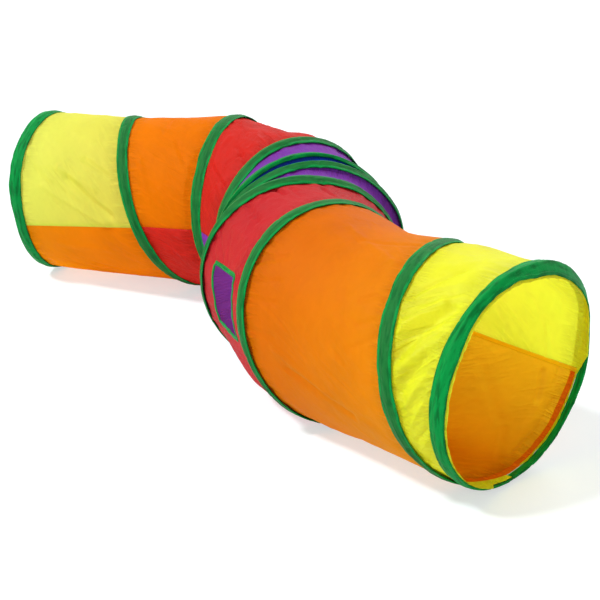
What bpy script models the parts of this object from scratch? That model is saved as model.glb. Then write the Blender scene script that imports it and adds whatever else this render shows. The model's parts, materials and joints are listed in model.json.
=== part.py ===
"""Pop-up play tunnel for cats, standing on the floor in an S.

One spring wire is wound into a helix with a closed turn at each end. It runs inside a sewn tape,
and the tape joins nine strips of coloured cloth. Each strip lies between one turn of the wire and
the next, goes once round the tunnel, and ends at a cross seam. The turns lie almost upright, and
the strips between them are stretched, folded in, or fanned out where the tunnel bends.
"""

import bisect
import functools
import math
from collections import namedtuple

import bmesh
import bpy
import numpy as np

# Sizes are in metres, angles in degrees, and places along the wire in turns from the first top.

# The spring wire
WIRE_DIAMETER = 0.0018
COIL_RADIUS = 0.125  # from the tunnel's middle to the wire's
FACETS = 24  # flats round one turn, one of them level at the bottom
WIRE_SIDES_RESOLUTION = 1

# The tape that the wire runs in
TAPE_WIDTH = 0.020
TAPE_THICKNESS = 0.0012  # two layers where it is sewn to the cloth
TAPE_WALL = 0.0006
BORE_HALF_WIDTH = 0.0025
BORE_HALF_HEIGHT = 0.0022
RIDGE_HALF_WIDTH = 0.0016  # the flat along the top of the wire's ridge
TAPE_HALF_LEAST = 0.0033  # where two turns meet at a closed end

# The cloth
CLOTH_WIDTH = 0.190  # from one turn of wire to the next along the tunnel, pulled taut
CLOTH_THICKNESS = 0.0006
CLOTH_LEAST_WIDTH = 0.004
CLOTH_ROWS = 4  # from one turn's tape to the next one's
SKEW_TAPER = 0.2  # turns from a mouth over which the cloth's lines come to lie askew
TAPER_TURNS = 0.13  # how far the cloth takes to widen at a closed end

# The peephole
WINDOW_STRIP = 7
WINDOW_TURN = 0.265  # how far round from the top its middle lies
WINDOW_SHARE = 0.53  # how far across the strip its middle lies
WINDOW_WIDTH = 0.096
WINDOW_HEIGHT = 0.092
BINDING_WIDTH = 0.006
BINDING_THICKNESS = 0.0016
WINDOW_FIRST_ROW = CLOTH_ROWS // 4  # the row of the cloth that lies along its side

# The caps on the wire's ends
CAP_WALL = 0.0004
CAP_DEPTH = 0.005
CAP_FLOOR = 0.001
CAP_PLAY = 0.0002  # round the wire
CAP_SIDES = 8
WIRE_END_SETBACK = 0.005

GAP = 0.0003  # between neighbours

# How the meshes are made
CORNER_MARGIN = 0.1 / FACETS  # no piece has a ring of its own nearer than this to its end, in turns
SEARCH_STEPS = 40
CORNER_SMOOTH = {"tape": 30.0, "cap": 50.0, "cloth": 60.0}  # edges bent less than this are shaded smooth

# One row for each strip, from the far end to the near one: how far it is pulled out along the tunnel,
# how far it carries the tunnel sideways, how far it bends it, how far the turn of wire at its start
# leans at the bottom, how deep its cloth is drawn in, how much further it sags at the top, where
# round the tunnel the next strip begins, and how far round the seam there runs askew. Distances are
# shares of the cloth's width, and angles are in degrees.
Strip = namedtuple("Strip", "colour pulled shift bend lean tuck sag seam skew")
STRIPS = (
    Strip("yellow", 0.663, 0.051, 0.0, 0.000, 0.010, 0.000, 105.0, 10.5),
    Strip("orange", 0.801, 0.147, -9.5, 0.232, 0.000, 0.000, 93.5, 3.0),
    Strip("red", 0.797, -0.027, -33.0, 0.067, 0.000, 0.000, 90.0, 2.0),
    Strip("purple", 0.397, -0.064, -9.0, 0.224, 0.020, 0.000, 162.0, 10.0),
    Strip("blue", 0.180, 0.004, -9.5, 0.057, 0.074, 0.000, 198.0, 10.0),
    Strip("purple", 0.292, -0.085, 0.0, -0.060, 0.032, 0.000, 259.0, 12.0),
    Strip("red", 0.565, -0.010, 17.5, -0.143, 0.000, 0.010, 259.0, 12.0),
    Strip("orange", 0.943, 0.148, 19.5, 0.007, 0.000, 0.035, 259.0, 2.5),
    Strip("yellow", 0.553, 0.094, 0.0, 0.000, 0.000, 0.000, None, None),
)

TURNS = len(STRIPS) + 1
WIRE_START = -0.5
WIRE_END = WIRE_START + TURNS
FIRST_STATION = WIRE_START + 1
LAST_STATION = WIRE_END - 1
CLOSED_PITCH = 2 * TAPE_HALF_LEAST + GAP
RIDGE_HEIGHT = BORE_HALF_HEIGHT + TAPE_WALL
HALF_FACET = math.pi / FACETS
COIL_HEIGHT = (COIL_RADIUS + RIDGE_HEIGHT) * math.cos(HALF_FACET)
TURN_LENGTH = 2 * math.pi * COIL_RADIUS

COLOURS = {
    "yellow": (0.88, 0.88, 0.06),
    "orange": (0.90, 0.27, 0.02),
    "red": (0.60, 0.03, 0.03),
    "purple": (0.16, 0.04, 0.30),
    "blue": (0.02, 0.04, 0.30),
    "green": (0.01, 0.23, 0.06),
    "steel": (0.45, 0.45, 0.47),
    "black": (0.03, 0.03, 0.03),
}


def clear_scene():
    """Start from an empty scene."""
    for obj in list(bpy.data.objects):
        bpy.data.objects.remove(obj, do_unlink=True)


def make_material(name, colour, roughness, metallic=0.0):
    """A plain finish for one kind of piece."""
    material = bpy.data.materials.new(name)
    material.use_nodes = True
    shader = material.node_tree.nodes["Principled BSDF"]
    shader.inputs["Base Color"].default_value = (*COLOURS[colour], 1)
    shader.inputs["Roughness"].default_value = roughness
    shader.inputs["Metallic"].default_value = metallic
    return material


# The line that the tunnel follows


def plan_stations():
    """Places and headings of the planes that the turns of wire cross at their tops."""
    places = [np.zeros(2)]
    headings = [0.0]
    for strip in STRIPS:
        bend = math.radians(strip.bend)
        middle = headings[-1] + bend / 2
        ahead = np.array([math.cos(middle), math.sin(middle)])
        aside = np.array([-math.sin(middle), math.cos(middle)])
        places.append(places[-1] + CLOTH_WIDTH * (strip.pulled * ahead + strip.shift * aside))
        headings.append(headings[-1] + bend)
    return np.array(places), np.array(headings)


def end_slope(h0, h1, d0, d1):
    """The slope at the end of a smooth curve, kept from overshooting."""
    slope = ((2 * h0 + h1) * d0 - h0 * d1) / (h0 + h1)
    if slope * d0 <= 0:
        return 0.0
    if d0 * d1 <= 0 and abs(slope) > 3 * abs(d0):
        return 3 * d0
    return slope


def smooth_curve(knots, values):
    """A function that passes through the values and never overshoots between them."""
    steps = np.diff(knots)
    rises = np.diff(values) / steps
    slopes = np.zeros(len(knots))
    for i in range(1, len(knots) - 1):
        if rises[i - 1] * rises[i] > 0:
            before = 2 * steps[i] + steps[i - 1]
            after = steps[i] + 2 * steps[i - 1]
            slopes[i] = (before + after) / (before / rises[i - 1] + after / rises[i])
    slopes[0] = end_slope(steps[0], steps[1], rises[0], rises[1])
    slopes[-1] = end_slope(steps[-1], steps[-2], rises[-1], rises[-2])

    def at(u):
        u = min(max(u, knots[0]), knots[-1])
        i = min(int(np.searchsorted(knots, u, side="right")) - 1, len(steps) - 1)
        t = (u - knots[i]) / steps[i]
        start = (1 + 2 * t) * (1 - t) ** 2 * values[i]
        start += t * (1 - t) ** 2 * steps[i] * slopes[i]
        end = t * t * (3 - 2 * t) * values[i + 1]
        end += t * t * (t - 1) * steps[i] * slopes[i + 1]
        return start + end

    return at


KNOTS = np.array([FIRST_STATION, *range(1, TURNS - 1), LAST_STATION])
PLACES, HEADINGS = plan_stations()
middle_x = smooth_curve(KNOTS, PLACES[:, 0])
middle_y = smooth_curve(KNOTS, PLACES[:, 1])
middle_heading = smooth_curve(KNOTS, HEADINGS)


def ahead_of(u):
    """The level direction along the tunnel at a place on the wire."""
    heading = middle_heading(u)
    return np.array([math.cos(heading), math.sin(heading), 0])


def outward_of(u, heading=None):
    """The direction out of the tunnel at a place on the wire, which starts at the top and turns right."""
    if heading is None:
        heading = middle_heading(u)
    angle = 2 * math.pi * u
    right = np.array([math.sin(heading), -math.cos(heading), 0])
    return math.sin(angle) * right + np.array([0, 0, math.cos(angle)])


def middle_of(u):
    """The point on the tunnel's middle line for a place on the wire."""
    inner = min(max(u, FIRST_STATION), LAST_STATION)
    turn = min(int(math.floor(inner)), len(STRIPS) - 1)
    lean = CLOTH_WIDTH * STRIPS[turn].lean * (1 - math.cos(2 * math.pi * inner)) / 2
    along = lean + CLOSED_PITCH * (u - inner)
    return np.array([middle_x(u), middle_y(u), COIL_HEIGHT]) + along * ahead_of(u)


def flat_factor(u):
    """How much nearer the middle a point is on a flat than at its corners."""
    angle = 2 * math.pi * u
    off = angle - 2 * HALF_FACET * round(angle / (2 * HALF_FACET))
    return math.cos(HALF_FACET) / math.cos(off)


def coil_point(u, out=0.0, along=0.0):
    """A point at, outside or beside the wire's centre."""
    spoke = (COIL_RADIUS + out) * flat_factor(u)
    return middle_of(u) + spoke * outward_of(u) + along * ahead_of(u)


def wire_places(start, end):
    """Places along the wire with a corner of the flats or a piece's end at each."""
    corners = [(i + 0.5) / FACETS for i in range(-FACETS, (TURNS + 1) * FACETS)]
    bottoms = [WIRE_START + turn for turn in range(TURNS + 1)]
    low, high = start + CORNER_MARGIN, end - CORNER_MARGIN
    inner = [u for u in sorted(corners + bottoms) if low < u < high]
    return [start, *inner, end]


# How wide the tape and the cloth are


def turn_gap(u):
    """From the wire to the wire one turn on, measured along the tunnel."""
    ahead = ahead_of(u) + ahead_of(u + 1)
    return float((coil_point(u + 1) - coil_point(u)) @ ahead / np.linalg.norm(ahead))


def half_tape(gap):
    """The half width of tape that fits in the gap between two turns."""
    room = (gap - CLOTH_LEAST_WIDTH - 2 * GAP) / 2
    return min(max(room, TAPE_HALF_LEAST), TAPE_WIDTH / 2)


def tape_before(u):
    """The half width of the tape on the side towards the far end, which ends level at the first turn."""
    if u - 1 < WIRE_START:
        return TAPE_HALF_LEAST + CLOSED_PITCH * (u - WIRE_START)
    return half_tape(turn_gap(u - 1))


def tape_after(u):
    """The half width of the tape on the side towards the near end, which ends level at the last turn."""
    if u + 1 > WIRE_END:
        return TAPE_HALF_LEAST + CLOSED_PITCH * (WIRE_END - u)
    return half_tape(turn_gap(u))


def cloth_limit(inside, outside):
    """The place where the gap between two turns is just wide enough for cloth."""
    least = 2 * TAPE_HALF_LEAST + CLOTH_LEAST_WIDTH + 2 * GAP
    for _ in range(SEARCH_STEPS):
        middle = (inside + outside) / 2
        if turn_gap(middle) > least:
            inside = middle
        else:
            outside = middle
    return inside


SEAMS = [(turn + strip.seam / 360, strip.skew / 360) for turn, strip in enumerate(STRIPS[:-1])]
seam_skew = smooth_curve(*np.array(SEAMS).T)
CLOTH_START = cloth_limit(FIRST_STATION - 0.5, WIRE_START)
CLOTH_END = cloth_limit(LAST_STATION - 0.5, LAST_STATION)


def plan_middle():
    """The middle of the tunnel's outline in plan."""
    points = []
    for u in wire_places(WIRE_START, WIRE_END):
        for along in (-tape_before(u), tape_after(u)):
            points.append(coil_point(u, TAPE_THICKNESS / 2, along))
        for along in (-RIDGE_HALF_WIDTH, RIDGE_HALF_WIDTH):
            points.append(coil_point(u, RIDGE_HEIGHT, along))
    low, high = np.min(points, axis=0), np.max(points, axis=0)
    return np.array([(low[0] + high[0]) / 2, (low[1] + high[1]) / 2, 0])


PLAN_MIDDLE = plan_middle()
ALL_PLACES = wire_places(WIRE_START, WIRE_END)


# Solids


def finish_mesh(name, bm, material, body, kind):
    """Turn a bmesh in world places into an object that hangs on its body's empty."""
    bmesh.ops.recalc_face_normals(bm, faces=bm.faces)
    mesh = bpy.data.meshes.new(name)
    bm.to_mesh(mesh)
    bm.free()
    mesh.transform(body.matrix_world.inverted())
    mesh.shade_smooth()
    mesh.set_sharp_from_angle(angle=math.radians(CORNER_SMOOTH[kind]))
    mesh.materials.append(material)
    obj = bpy.data.objects.new(name, mesh)
    obj.parent = body
    bpy.context.collection.objects.link(obj)
    return obj


def bridge(bm, ring_a, ring_b):
    """Join two closed rings of as many corners."""
    count = len(ring_a)
    for i in range(count):
        j = (i + 1) % count
        bm.faces.new((ring_a[i], ring_a[j], ring_b[j], ring_b[i]))


def cap_between(bm, outer, inner):
    """Close the end of a tube between its outer and inner ring."""
    rings = [(ring[i], ring[(i + 1) % len(ring)]) for ring in (outer, inner) for i in range(len(ring))]
    edges = [bm.edges.get(pair) for pair in rings]
    bmesh.ops.triangle_fill(bm, edges=edges, use_beauty=True)


def tape_rings(u):
    """The tape's outer outline and its bore at a place on the wire."""
    before, after = tape_before(u), tape_after(u)
    edge = TAPE_THICKNESS / 2
    ridge, high = RIDGE_HALF_WIDTH, RIDGE_HEIGHT
    outline = [(-before, edge), (-ridge, high), (ridge, high), (after, edge)]
    outline += [(along, -out) for along, out in reversed(outline)]
    bore = [(-BORE_HALF_WIDTH, 0), (0, BORE_HALF_HEIGHT), (BORE_HALF_WIDTH, 0), (0, -BORE_HALF_HEIGHT)]
    rings = []
    for corners in (outline, bore):
        rings.append([coil_point(u, out, along) - PLAN_MIDDLE for along, out in corners])
    return rings


def make_tape_turn(name, start, end, material, body):
    """One turn of the tape: two sewn edges and a ridge with the wire's bore in it."""
    bm = bmesh.new()
    half_gap = GAP / 2 / TURN_LENGTH
    rings = [tape_rings(u) for u in wire_places(start + half_gap, end - half_gap)]
    outers = [[bm.verts.new(p) for p in outline] for outline, _ in rings]
    bores = [[bm.verts.new(p) for p in bore] for _, bore in rings]
    for tube in (outers, bores):
        for ring_a, ring_b in zip(tube, tube[1:]):
            bridge(bm, ring_a, ring_b)
    for end_ring in (0, -1):
        cap_between(bm, outers[end_ring], bores[end_ring])
    return finish_mesh(name, bm, material, body, "tape")


def make_wire(material, body):
    """The spring: one unbroken wire from its far end to its near one."""
    setback = WIRE_END_SETBACK / TURN_LENGTH
    points = [coil_point(u) - PLAN_MIDDLE for u in wire_places(WIRE_START + setback, WIRE_END - setback)]
    curve = bpy.data.curves.new("spring_wire", "CURVE")
    curve.dimensions = "3D"
    curve.bevel_depth = WIRE_DIAMETER / 2
    curve.bevel_resolution = WIRE_SIDES_RESOLUTION
    curve.use_fill_caps = True
    spline = curve.splines.new("POLY")
    spline.points.add(len(points) - 1)
    for slot, point in zip(spline.points, points):
        slot.co = (*(point - np.array(body.matrix_world.translation)), 1)
    curve.materials.append(material)
    wire = bpy.data.objects.new("spring_wire", curve)
    wire.parent = body
    bpy.context.collection.objects.link(wire)
    return wire


def least_wire_gap():
    """The least clear distance between one turn of the wire and another."""
    places = np.array(wire_places(WIRE_START, WIRE_END))
    points = np.array([coil_point(u) for u in places])
    spans = np.linalg.norm(points[:, None] - points[None], axis=2)
    apart = np.abs(places[:, None] - places[None]) > 0.5
    return spans[apart].min() - WIRE_DIAMETER


def make_wire_cap(name, end, inward, material, body):
    """A small plastic cup on the wire's end, inside the tape."""
    setback = inward * WIRE_END_SETBACK / TURN_LENGTH
    tip = coil_point(end + setback) - PLAN_MIDDLE
    axis = coil_point(end + 2 * setback) - PLAN_MIDDLE - tip
    axis /= np.linalg.norm(axis)
    across = np.cross(axis, outward_of(end))
    across /= np.linalg.norm(across)
    upward = np.cross(across, axis)
    inner = WIRE_DIAMETER / 2 + CAP_PLAY
    outer = inner + CAP_WALL
    floor = -GAP
    profile = [(floor - CAP_FLOOR, outer), (CAP_DEPTH, outer), (CAP_DEPTH, inner), (floor, inner)]
    bm = bmesh.new()
    rings = []
    for along, radius in profile:
        ring = []
        for i in range(CAP_SIDES):
            angle = 2 * math.pi * i / CAP_SIDES
            spoke = math.cos(angle) * across + math.sin(angle) * upward
            ring.append(bm.verts.new(tip + along * axis + radius * spoke))
        rings.append(ring)
    for ring_a, ring_b in zip(rings, rings[1:]):
        bridge(bm, ring_a, ring_b)
    bm.faces.new(rings[0])
    bm.faces.new(rings[-1])
    return finish_mesh(name, bm, material, body, "cap")


# Cloth


def skewed_place(u, t):
    """The place whose spoke passes through a point of a line cut square to the wire."""
    inside = min(u - CLOTH_START, CLOTH_END - u) - TAPER_TURNS
    reach = min(max(inside / SKEW_TAPER, 0), 1)
    return u - seam_skew(u) * reach * t


@functools.cache
def edge_at_corner(u, side):
    """The line beside a corner of the tape that the cloth starts from."""
    if side > 0:
        return coil_point(u, 0, tape_after(u) + GAP)
    return coil_point(u, 0, -tape_before(u) - GAP)


def edge_between(u, side):
    """The same line between two corners, where the tape is straight."""
    i = bisect.bisect_right(ALL_PLACES, u) - 1
    low, high = ALL_PLACES[i], ALL_PLACES[i + 1]
    t = (u - low) / (high - low)
    return (1 - t) * edge_at_corner(low, side) + t * edge_at_corner(high, side)


def cloth_edges(u):
    """Where the cloth meets the tape of its own turn and of the next one."""
    return edge_between(u, 1), edge_between(u + 1, -1)


def cloth_point(strip, u, t, out=0.0):
    """A point of a strip of cloth, from 0 at its own turn to 1 at the next one."""
    place = skewed_place(u, t)
    near, far = cloth_edges(place)
    width = np.linalg.norm(far - near)
    heading = (1 - t) * middle_heading(place) + t * middle_heading(place + 1)
    drop = strip.tuck + strip.sag * (1 + math.cos(2 * math.pi * place)) / 2
    drop = min(CLOTH_WIDTH * drop, width) * math.sin(math.pi * t) ** 2
    point = (1 - t) * near + t * far
    return point + (out - drop) * outward_of(place, heading) - PLAN_MIDDLE


def make_panel(name, outside, inside, holes, material, body):
    """A sheet with walls round its border and its holes, from two grids of points."""
    bm = bmesh.new()
    grids = [[[bm.verts.new(p) for p in row] for row in grid] for grid in (outside, inside)]
    rows, columns = len(outside) - 1, len(outside[0]) - 1
    cells = {(i, j) for i in range(rows) for j in range(columns)} - holes
    for i, j in cells:
        corners = [(i, j), (i, j + 1), (i + 1, j + 1), (i + 1, j)]
        for grid in grids:
            bm.faces.new([grid[a][b] for a, b in corners])
        beside = [(i - 1, j), (i, j + 1), (i + 1, j), (i, j - 1)]
        for side, cell in enumerate(beside):
            if cell not in cells:
                a, b = corners[side], corners[(side + 1) % 4]
                wall = [grids[0][a[0]][a[1]], grids[0][b[0]][b[1]]]
                wall += [grids[1][b[0]][b[1]], grids[1][a[0]][a[1]]]
                bm.faces.new(wall)
    for vert in [v for v in bm.verts if not v.link_faces]:
        bm.verts.remove(vert)
    return finish_mesh(name, bm, material, body, "cloth")


def window_half_turn(height):
    """Half of a height on the tunnel's side, in turns."""
    return height / 2 / TURN_LENGTH


def window_row(u):
    """The rows of points across the strip beside the window, with one on each of its sides."""
    left, right = window_columns(u, WINDOW_WIDTH)
    turned = (0, WINDOW_FIRST_ROW, CLOTH_ROWS - WINDOW_FIRST_ROW, CLOTH_ROWS)
    return list(np.interp(range(CLOTH_ROWS + 1), turned, (0, left, right, 1)))


def window_columns(u, width):
    """The sides of a width at the window's place, as shares of the strip's width."""
    near, far = cloth_edges(skewed_place(u, 0.5))
    half = width / 2 / np.linalg.norm(far - near)
    return WINDOW_SHARE - half, WINDOW_SHARE + half


def strip_name(number):
    """The name of a strip of cloth."""
    return f"strip_{number}_{STRIPS[number - 1].colour}"


def strip_span(number):
    """The places where a strip of cloth starts and ends."""
    start, end = CLOTH_START, CLOTH_END
    half_gap = GAP / 2 / TURN_LENGTH
    if number > 1:
        start = number - 2 + STRIPS[number - 2].seam / 360 + half_gap
    if number < len(STRIPS):
        end = number - 1 + STRIPS[number - 1].seam / 360 - half_gap
    return start, end


def make_strip(number, material, body):
    """One strip of cloth, with the peephole cut out of the strip that has it."""
    strip = STRIPS[number - 1]
    places = wire_places(*strip_span(number))
    middle = WINDOW_STRIP - 1 + WINDOW_TURN
    half = window_half_turn(WINDOW_HEIGHT)
    low, high = middle - half, middle + half
    if number == WINDOW_STRIP:
        near = 2 * CORNER_MARGIN
        places = [u for u in places if abs(u - low) > near and abs(u - high) > near]
        places = sorted([*places, low, high])
    columns = []
    for u in places:
        if number == WINDOW_STRIP and low <= u <= high:
            columns.append(window_row(u))
        else:
            columns.append(list(np.linspace(0, 1, CLOTH_ROWS + 1)))
    half_cloth = CLOTH_THICKNESS / 2
    outside = [[cloth_point(strip, u, t, half_cloth) for t in row] for u, row in zip(places, columns)]
    inside = [[cloth_point(strip, u, t, -half_cloth) for t in row] for u, row in zip(places, columns)]
    holes = set()
    if number == WINDOW_STRIP:
        first, last = places.index(low), places.index(high)
        across = range(WINDOW_FIRST_ROW, CLOTH_ROWS - WINDOW_FIRST_ROW)
        holes = {(i, j) for i in range(first, last) for j in across}
    return make_panel(strip_name(number), outside, inside, holes, material, body)


def make_window_binding(material, body):
    """The tape folded over the peephole's edge."""
    strip = STRIPS[WINDOW_STRIP - 1]
    middle = WINDOW_STRIP - 1 + WINDOW_TURN
    outer = window_half_turn(WINDOW_HEIGHT - 2 * GAP)
    inner = window_half_turn(WINDOW_HEIGHT - 2 * GAP - 2 * BINDING_WIDTH)
    places = [middle - outer, *wire_places(middle - inner, middle + inner), middle + outer]
    half = BINDING_THICKNESS / 2
    outside, inside = [], []
    for u in places:
        left, right = window_columns(u, WINDOW_WIDTH - 2 * GAP)
        left_in, right_in = window_columns(u, WINDOW_WIDTH - 2 * GAP - 2 * BINDING_WIDTH)
        row = [left, left_in, right_in, right]
        outside.append([cloth_point(strip, u, t, half) for t in row])
        inside.append([cloth_point(strip, u, t, -half) for t in row])
    holes = {(i, 1) for i in range(1, len(places) - 2)}
    return make_panel("window_binding", outside, inside, holes, material, body)


# How the turns fold together


def fold_line(number):
    """The upright line on which the planes of a strip's two turns meet, or None where they don't."""
    here, there = PLACES[number - 1], PLACES[number]
    if STRIPS[number - 1].bend == 0:
        return None
    sides = [np.array([-math.sin(h), math.cos(h)]) for h in HEADINGS[number - 1 : number + 1]]
    reach = np.linalg.solve(np.column_stack([sides[0], -sides[1]]), there - here)
    return here + reach[0] * sides[0], abs(reach[0])


def report_fold(number):
    """Say how far a strip can fold, for the line or the direction that it folds about."""
    name = strip_name(number)
    line = fold_line(number)
    if line is None:
        ahead = np.array([math.cos(HEADINGS[number]), math.sin(HEADINGS[number])])
        travel = (PLACES[number] - PLACES[number - 1]) @ ahead - CLOSED_PITCH
        print(f"{name} slides along {-ahead.round(6)} by {travel:.5f}")
        return
    place, radius = line
    bend = abs(math.radians(STRIPS[number - 1].bend))
    turn = math.degrees(bend - CLOSED_PITCH / radius)
    print(f"{name} closes about {(place - PLAN_MIDDLE[:2]).round(6)} by {turn:.4f}, radius {radius:.4f}")


def make_bodies():
    """One empty for each turn of the wire, on the line that it folds about."""
    bodies = []
    for turn in range(1, TURNS + 1):
        line = fold_line(turn - 1) if turn > 1 else None
        place = PLACES[turn - 1] if line is None else line[0]
        empty = bpy.data.objects.new(f"turn_{turn}", None)
        empty.location = (*(place - PLAN_MIDDLE[:2]), COIL_HEIGHT)
        bpy.context.collection.objects.link(empty)
        bodies.append(empty)
    bpy.context.view_layer.update()
    return bodies


def main():
    """Build the tunnel."""
    clear_scene()
    names = ("yellow", "orange", "red", "purple", "blue")
    cloths = {name: make_material(f"cloth_{name}", name, 0.55) for name in names}
    tape = make_material("green_tape", "green", 0.5)
    steel = make_material("spring_steel", "steel", 0.35, 1.0)
    plastic = make_material("black_plastic", "black", 0.5)

    bodies = make_bodies()
    make_wire(steel, bodies[0])
    make_wire_cap("wire_cap_far", WIRE_START, 1, plastic, bodies[0])
    make_wire_cap("wire_cap_near", WIRE_END, -1, plastic, bodies[-1])
    for turn in range(TURNS):
        start = WIRE_START + turn
        make_tape_turn(f"tape_turn_{turn + 1}", start, start + 1, tape, bodies[turn])
    for number, strip in enumerate(STRIPS, start=1):
        make_strip(number, cloths[strip.colour], bodies[number - 1])
        report_fold(number)
    make_window_binding(tape, bodies[WINDOW_STRIP - 1])
    print(f"least gap between turns of the wire: {least_wire_gap() * 1000:.2f} mm")


main()
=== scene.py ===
# %% [markdown]
# A pop-up cat tunnel, dressed for its picture. The real thing is nine strips of thin shiny cloth,
# sewn edge to edge along a tape that holds one long spring wire. The wire is a helix, so each strip
# winds round the tunnel like a stripe on a barber's pole. We load the plain working model first,
# because every piece made here has to lie where that model has it and move with its turns of wire.

import json
import math
from collections import namedtuple

import bmesh
import bpy
import numpy as np
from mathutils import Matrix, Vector


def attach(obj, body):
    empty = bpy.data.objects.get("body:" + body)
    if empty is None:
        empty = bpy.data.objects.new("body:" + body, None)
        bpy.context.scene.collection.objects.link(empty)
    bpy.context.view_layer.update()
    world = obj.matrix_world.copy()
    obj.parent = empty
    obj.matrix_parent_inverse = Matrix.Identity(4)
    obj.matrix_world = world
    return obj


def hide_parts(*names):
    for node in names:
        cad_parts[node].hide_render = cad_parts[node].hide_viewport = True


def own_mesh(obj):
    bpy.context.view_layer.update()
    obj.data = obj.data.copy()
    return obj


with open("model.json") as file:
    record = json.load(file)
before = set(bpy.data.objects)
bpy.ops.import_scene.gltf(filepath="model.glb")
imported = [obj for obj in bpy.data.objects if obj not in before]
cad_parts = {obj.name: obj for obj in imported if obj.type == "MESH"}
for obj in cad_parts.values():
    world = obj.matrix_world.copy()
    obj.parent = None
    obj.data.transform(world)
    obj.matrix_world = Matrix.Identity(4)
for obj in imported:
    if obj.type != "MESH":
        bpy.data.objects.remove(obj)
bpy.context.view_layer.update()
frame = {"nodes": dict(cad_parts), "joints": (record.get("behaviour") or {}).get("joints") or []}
joints = {joint["name"]: joint for joint in frame["joints"]}

# %% [markdown]
# The camera stands where the photographer stood: in front of the near mouth, to its right, and
# looking down a little. A long lens keeps the far mouth nearly as large as the near one.

# %% Set up the camera
CAMERA_PLACE = (0.6756, -1.4107, 0.7127)
CAMERA_TILT = 67.718
CAMERA_TURN = 24.081
LENS = 76.235

camera = bpy.data.objects.new("camera", bpy.data.cameras.new("camera"))
camera.location = CAMERA_PLACE
camera.rotation_euler = (math.radians(CAMERA_TILT), 0, math.radians(CAMERA_TURN))
camera.data.lens = LENS
camera.data.clip_start = 0.05
camera.data.clip_end = 100
bpy.context.scene.collection.objects.link(camera)
bpy.context.scene.camera = camera
bpy.context.scene.view_settings.view_transform = "Standard"
print(f"camera {Vector(CAMERA_PLACE).length:.2f} m from the middle, lens {LENS} mm")

# %% [markdown]
# A finish is a graph of nodes. Written out node by node it is hard to read, so one small class
# wraps a socket and turns Python's own operators into Math nodes, and one method makes any other
# node. A sum such as 1 - mask then reads as a sum.


# %% A short way to write shader maths
class Signal:
    """One output in a finish's graph, which can be used in sums."""

    def __init__(self, finish, socket):
        self.finish = finish
        self.socket = socket

    def sum_with(self, operation, first, second):
        flat = self.socket.type == "VALUE"
        kind = "ShaderNodeMath" if flat else "ShaderNodeVectorMath"
        return self.finish.node(kind, {"operation": operation}, {0: first, 1: second})

    def __add__(self, other):
        return self.sum_with("ADD", self, other)

    def __radd__(self, other):
        return self.sum_with("ADD", other, self)

    def __sub__(self, other):
        return self.sum_with("SUBTRACT", self, other)

    def __rsub__(self, other):
        return self.sum_with("SUBTRACT", other, self)

    def __mul__(self, other):
        return self.sum_with("MULTIPLY", self, other)

    def __rmul__(self, other):
        return self.sum_with("MULTIPLY", other, self)

    def __truediv__(self, other):
        return self.sum_with("DIVIDE", self, other)

    def wave(self):
        """The sine of this value, from -1 to 1."""
        return self.finish.node("ShaderNodeMath", {"operation": "SINE"}, {0: self})

    def size(self):
        """This value without its sign."""
        return self.finish.node("ShaderNodeMath", {"operation": "ABSOLUTE"}, {0: self})

    def fraction(self):
        """What is left of this value past a whole number."""
        return self.finish.node("ShaderNodeMath", {"operation": "FRACT"}, {0: self})

    def step(self, low, high):
        """0 below low, 1 above high, and a smooth way between them."""
        settings = {"interpolation_type": "SMOOTHSTEP"}
        return self.finish.node("ShaderNodeMapRange", settings, {"Value": self, 1: low, 2: high})

    def parts(self):
        """The three numbers of a vector."""
        node = self.finish.node("ShaderNodeSeparateXYZ", {}, {0: self}).socket.node
        return [Signal(self.finish, output) for output in node.outputs]


class Finish:
    """A material and the graph behind it."""

    def __init__(self, name):
        self.material = bpy.data.materials.new(name)
        self.material.use_nodes = True
        self.tree = self.material.node_tree
        self.tree.nodes.clear()

    def node(self, kind, settings, sockets, output=0):
        """Add a node: its settings first, then its sockets' values or links."""
        node = self.tree.nodes.new(kind)
        for name, value in settings.items():
            setattr(node, name, value)
        for name, value in sockets.items():
            if isinstance(value, Signal):
                self.tree.links.new(value.socket, node.inputs[name])
            else:
                node.inputs[name].default_value = value
        return Signal(self, node.outputs[output])

    def attribute(self, name):
        """A vector that the mesh keeps at each point."""
        settings = {"attribute_type": "GEOMETRY", "attribute_name": name}
        return self.node("ShaderNodeAttribute", settings, {}, "Vector")

    def mix(self, factor, first, second):
        """A colour between two others."""
        settings = {"data_type": "RGBA"}
        return self.node("ShaderNodeMix", settings, {0: factor, 6: first, 7: second}, 2)

    def tint(self, colour, amount):
        """A colour made lighter or darker by a varying amount."""
        grey = self.node("ShaderNodeCombineXYZ", {}, {0: amount, 1: amount, 2: amount})
        settings = {"data_type": "RGBA", "blend_type": "MULTIPLY"}
        return self.node("ShaderNodeMix", settings, {0: 1.0, 6: colour, 7: grey}, 2)

    def noise(self, place, scale, detail=2.0):
        """Smooth, aimless variation from 0 to 1."""
        sockets = {"Vector": place, "Scale": scale, "Detail": detail}
        return self.node("ShaderNodeTexNoise", {}, sockets)

    def bump(self, height, distance):
        """A normal from a height map."""
        return self.node("ShaderNodeBump", {}, {"Height": height, "Distance": distance})

    def show(self, shader):
        """Send a shader to the surface."""
        output = self.tree.nodes.new("ShaderNodeOutputMaterial")
        self.tree.links.new(shader.socket, output.inputs["Surface"])
        return self.material


def linear(red, green, blue):
    """The colour that shows as these screen values from 0 to 255."""
    parts = [value / 255 for value in (red, green, blue)]
    parts = [p / 12.92 if p <= 0.04045 else ((p + 0.055) / 1.055) ** 2.4 for p in parts]
    return (*parts, 1.0)


print("shader maths ready")

# %% [markdown]
# The line that the tunnel follows is worked out as on the working model. Each strip is pulled out
# by some share of its full width, carries the tunnel a little sideways, and may bend it. Between
# the ten planes that this gives, a smooth curve that never overshoots leads from one to the next.

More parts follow.
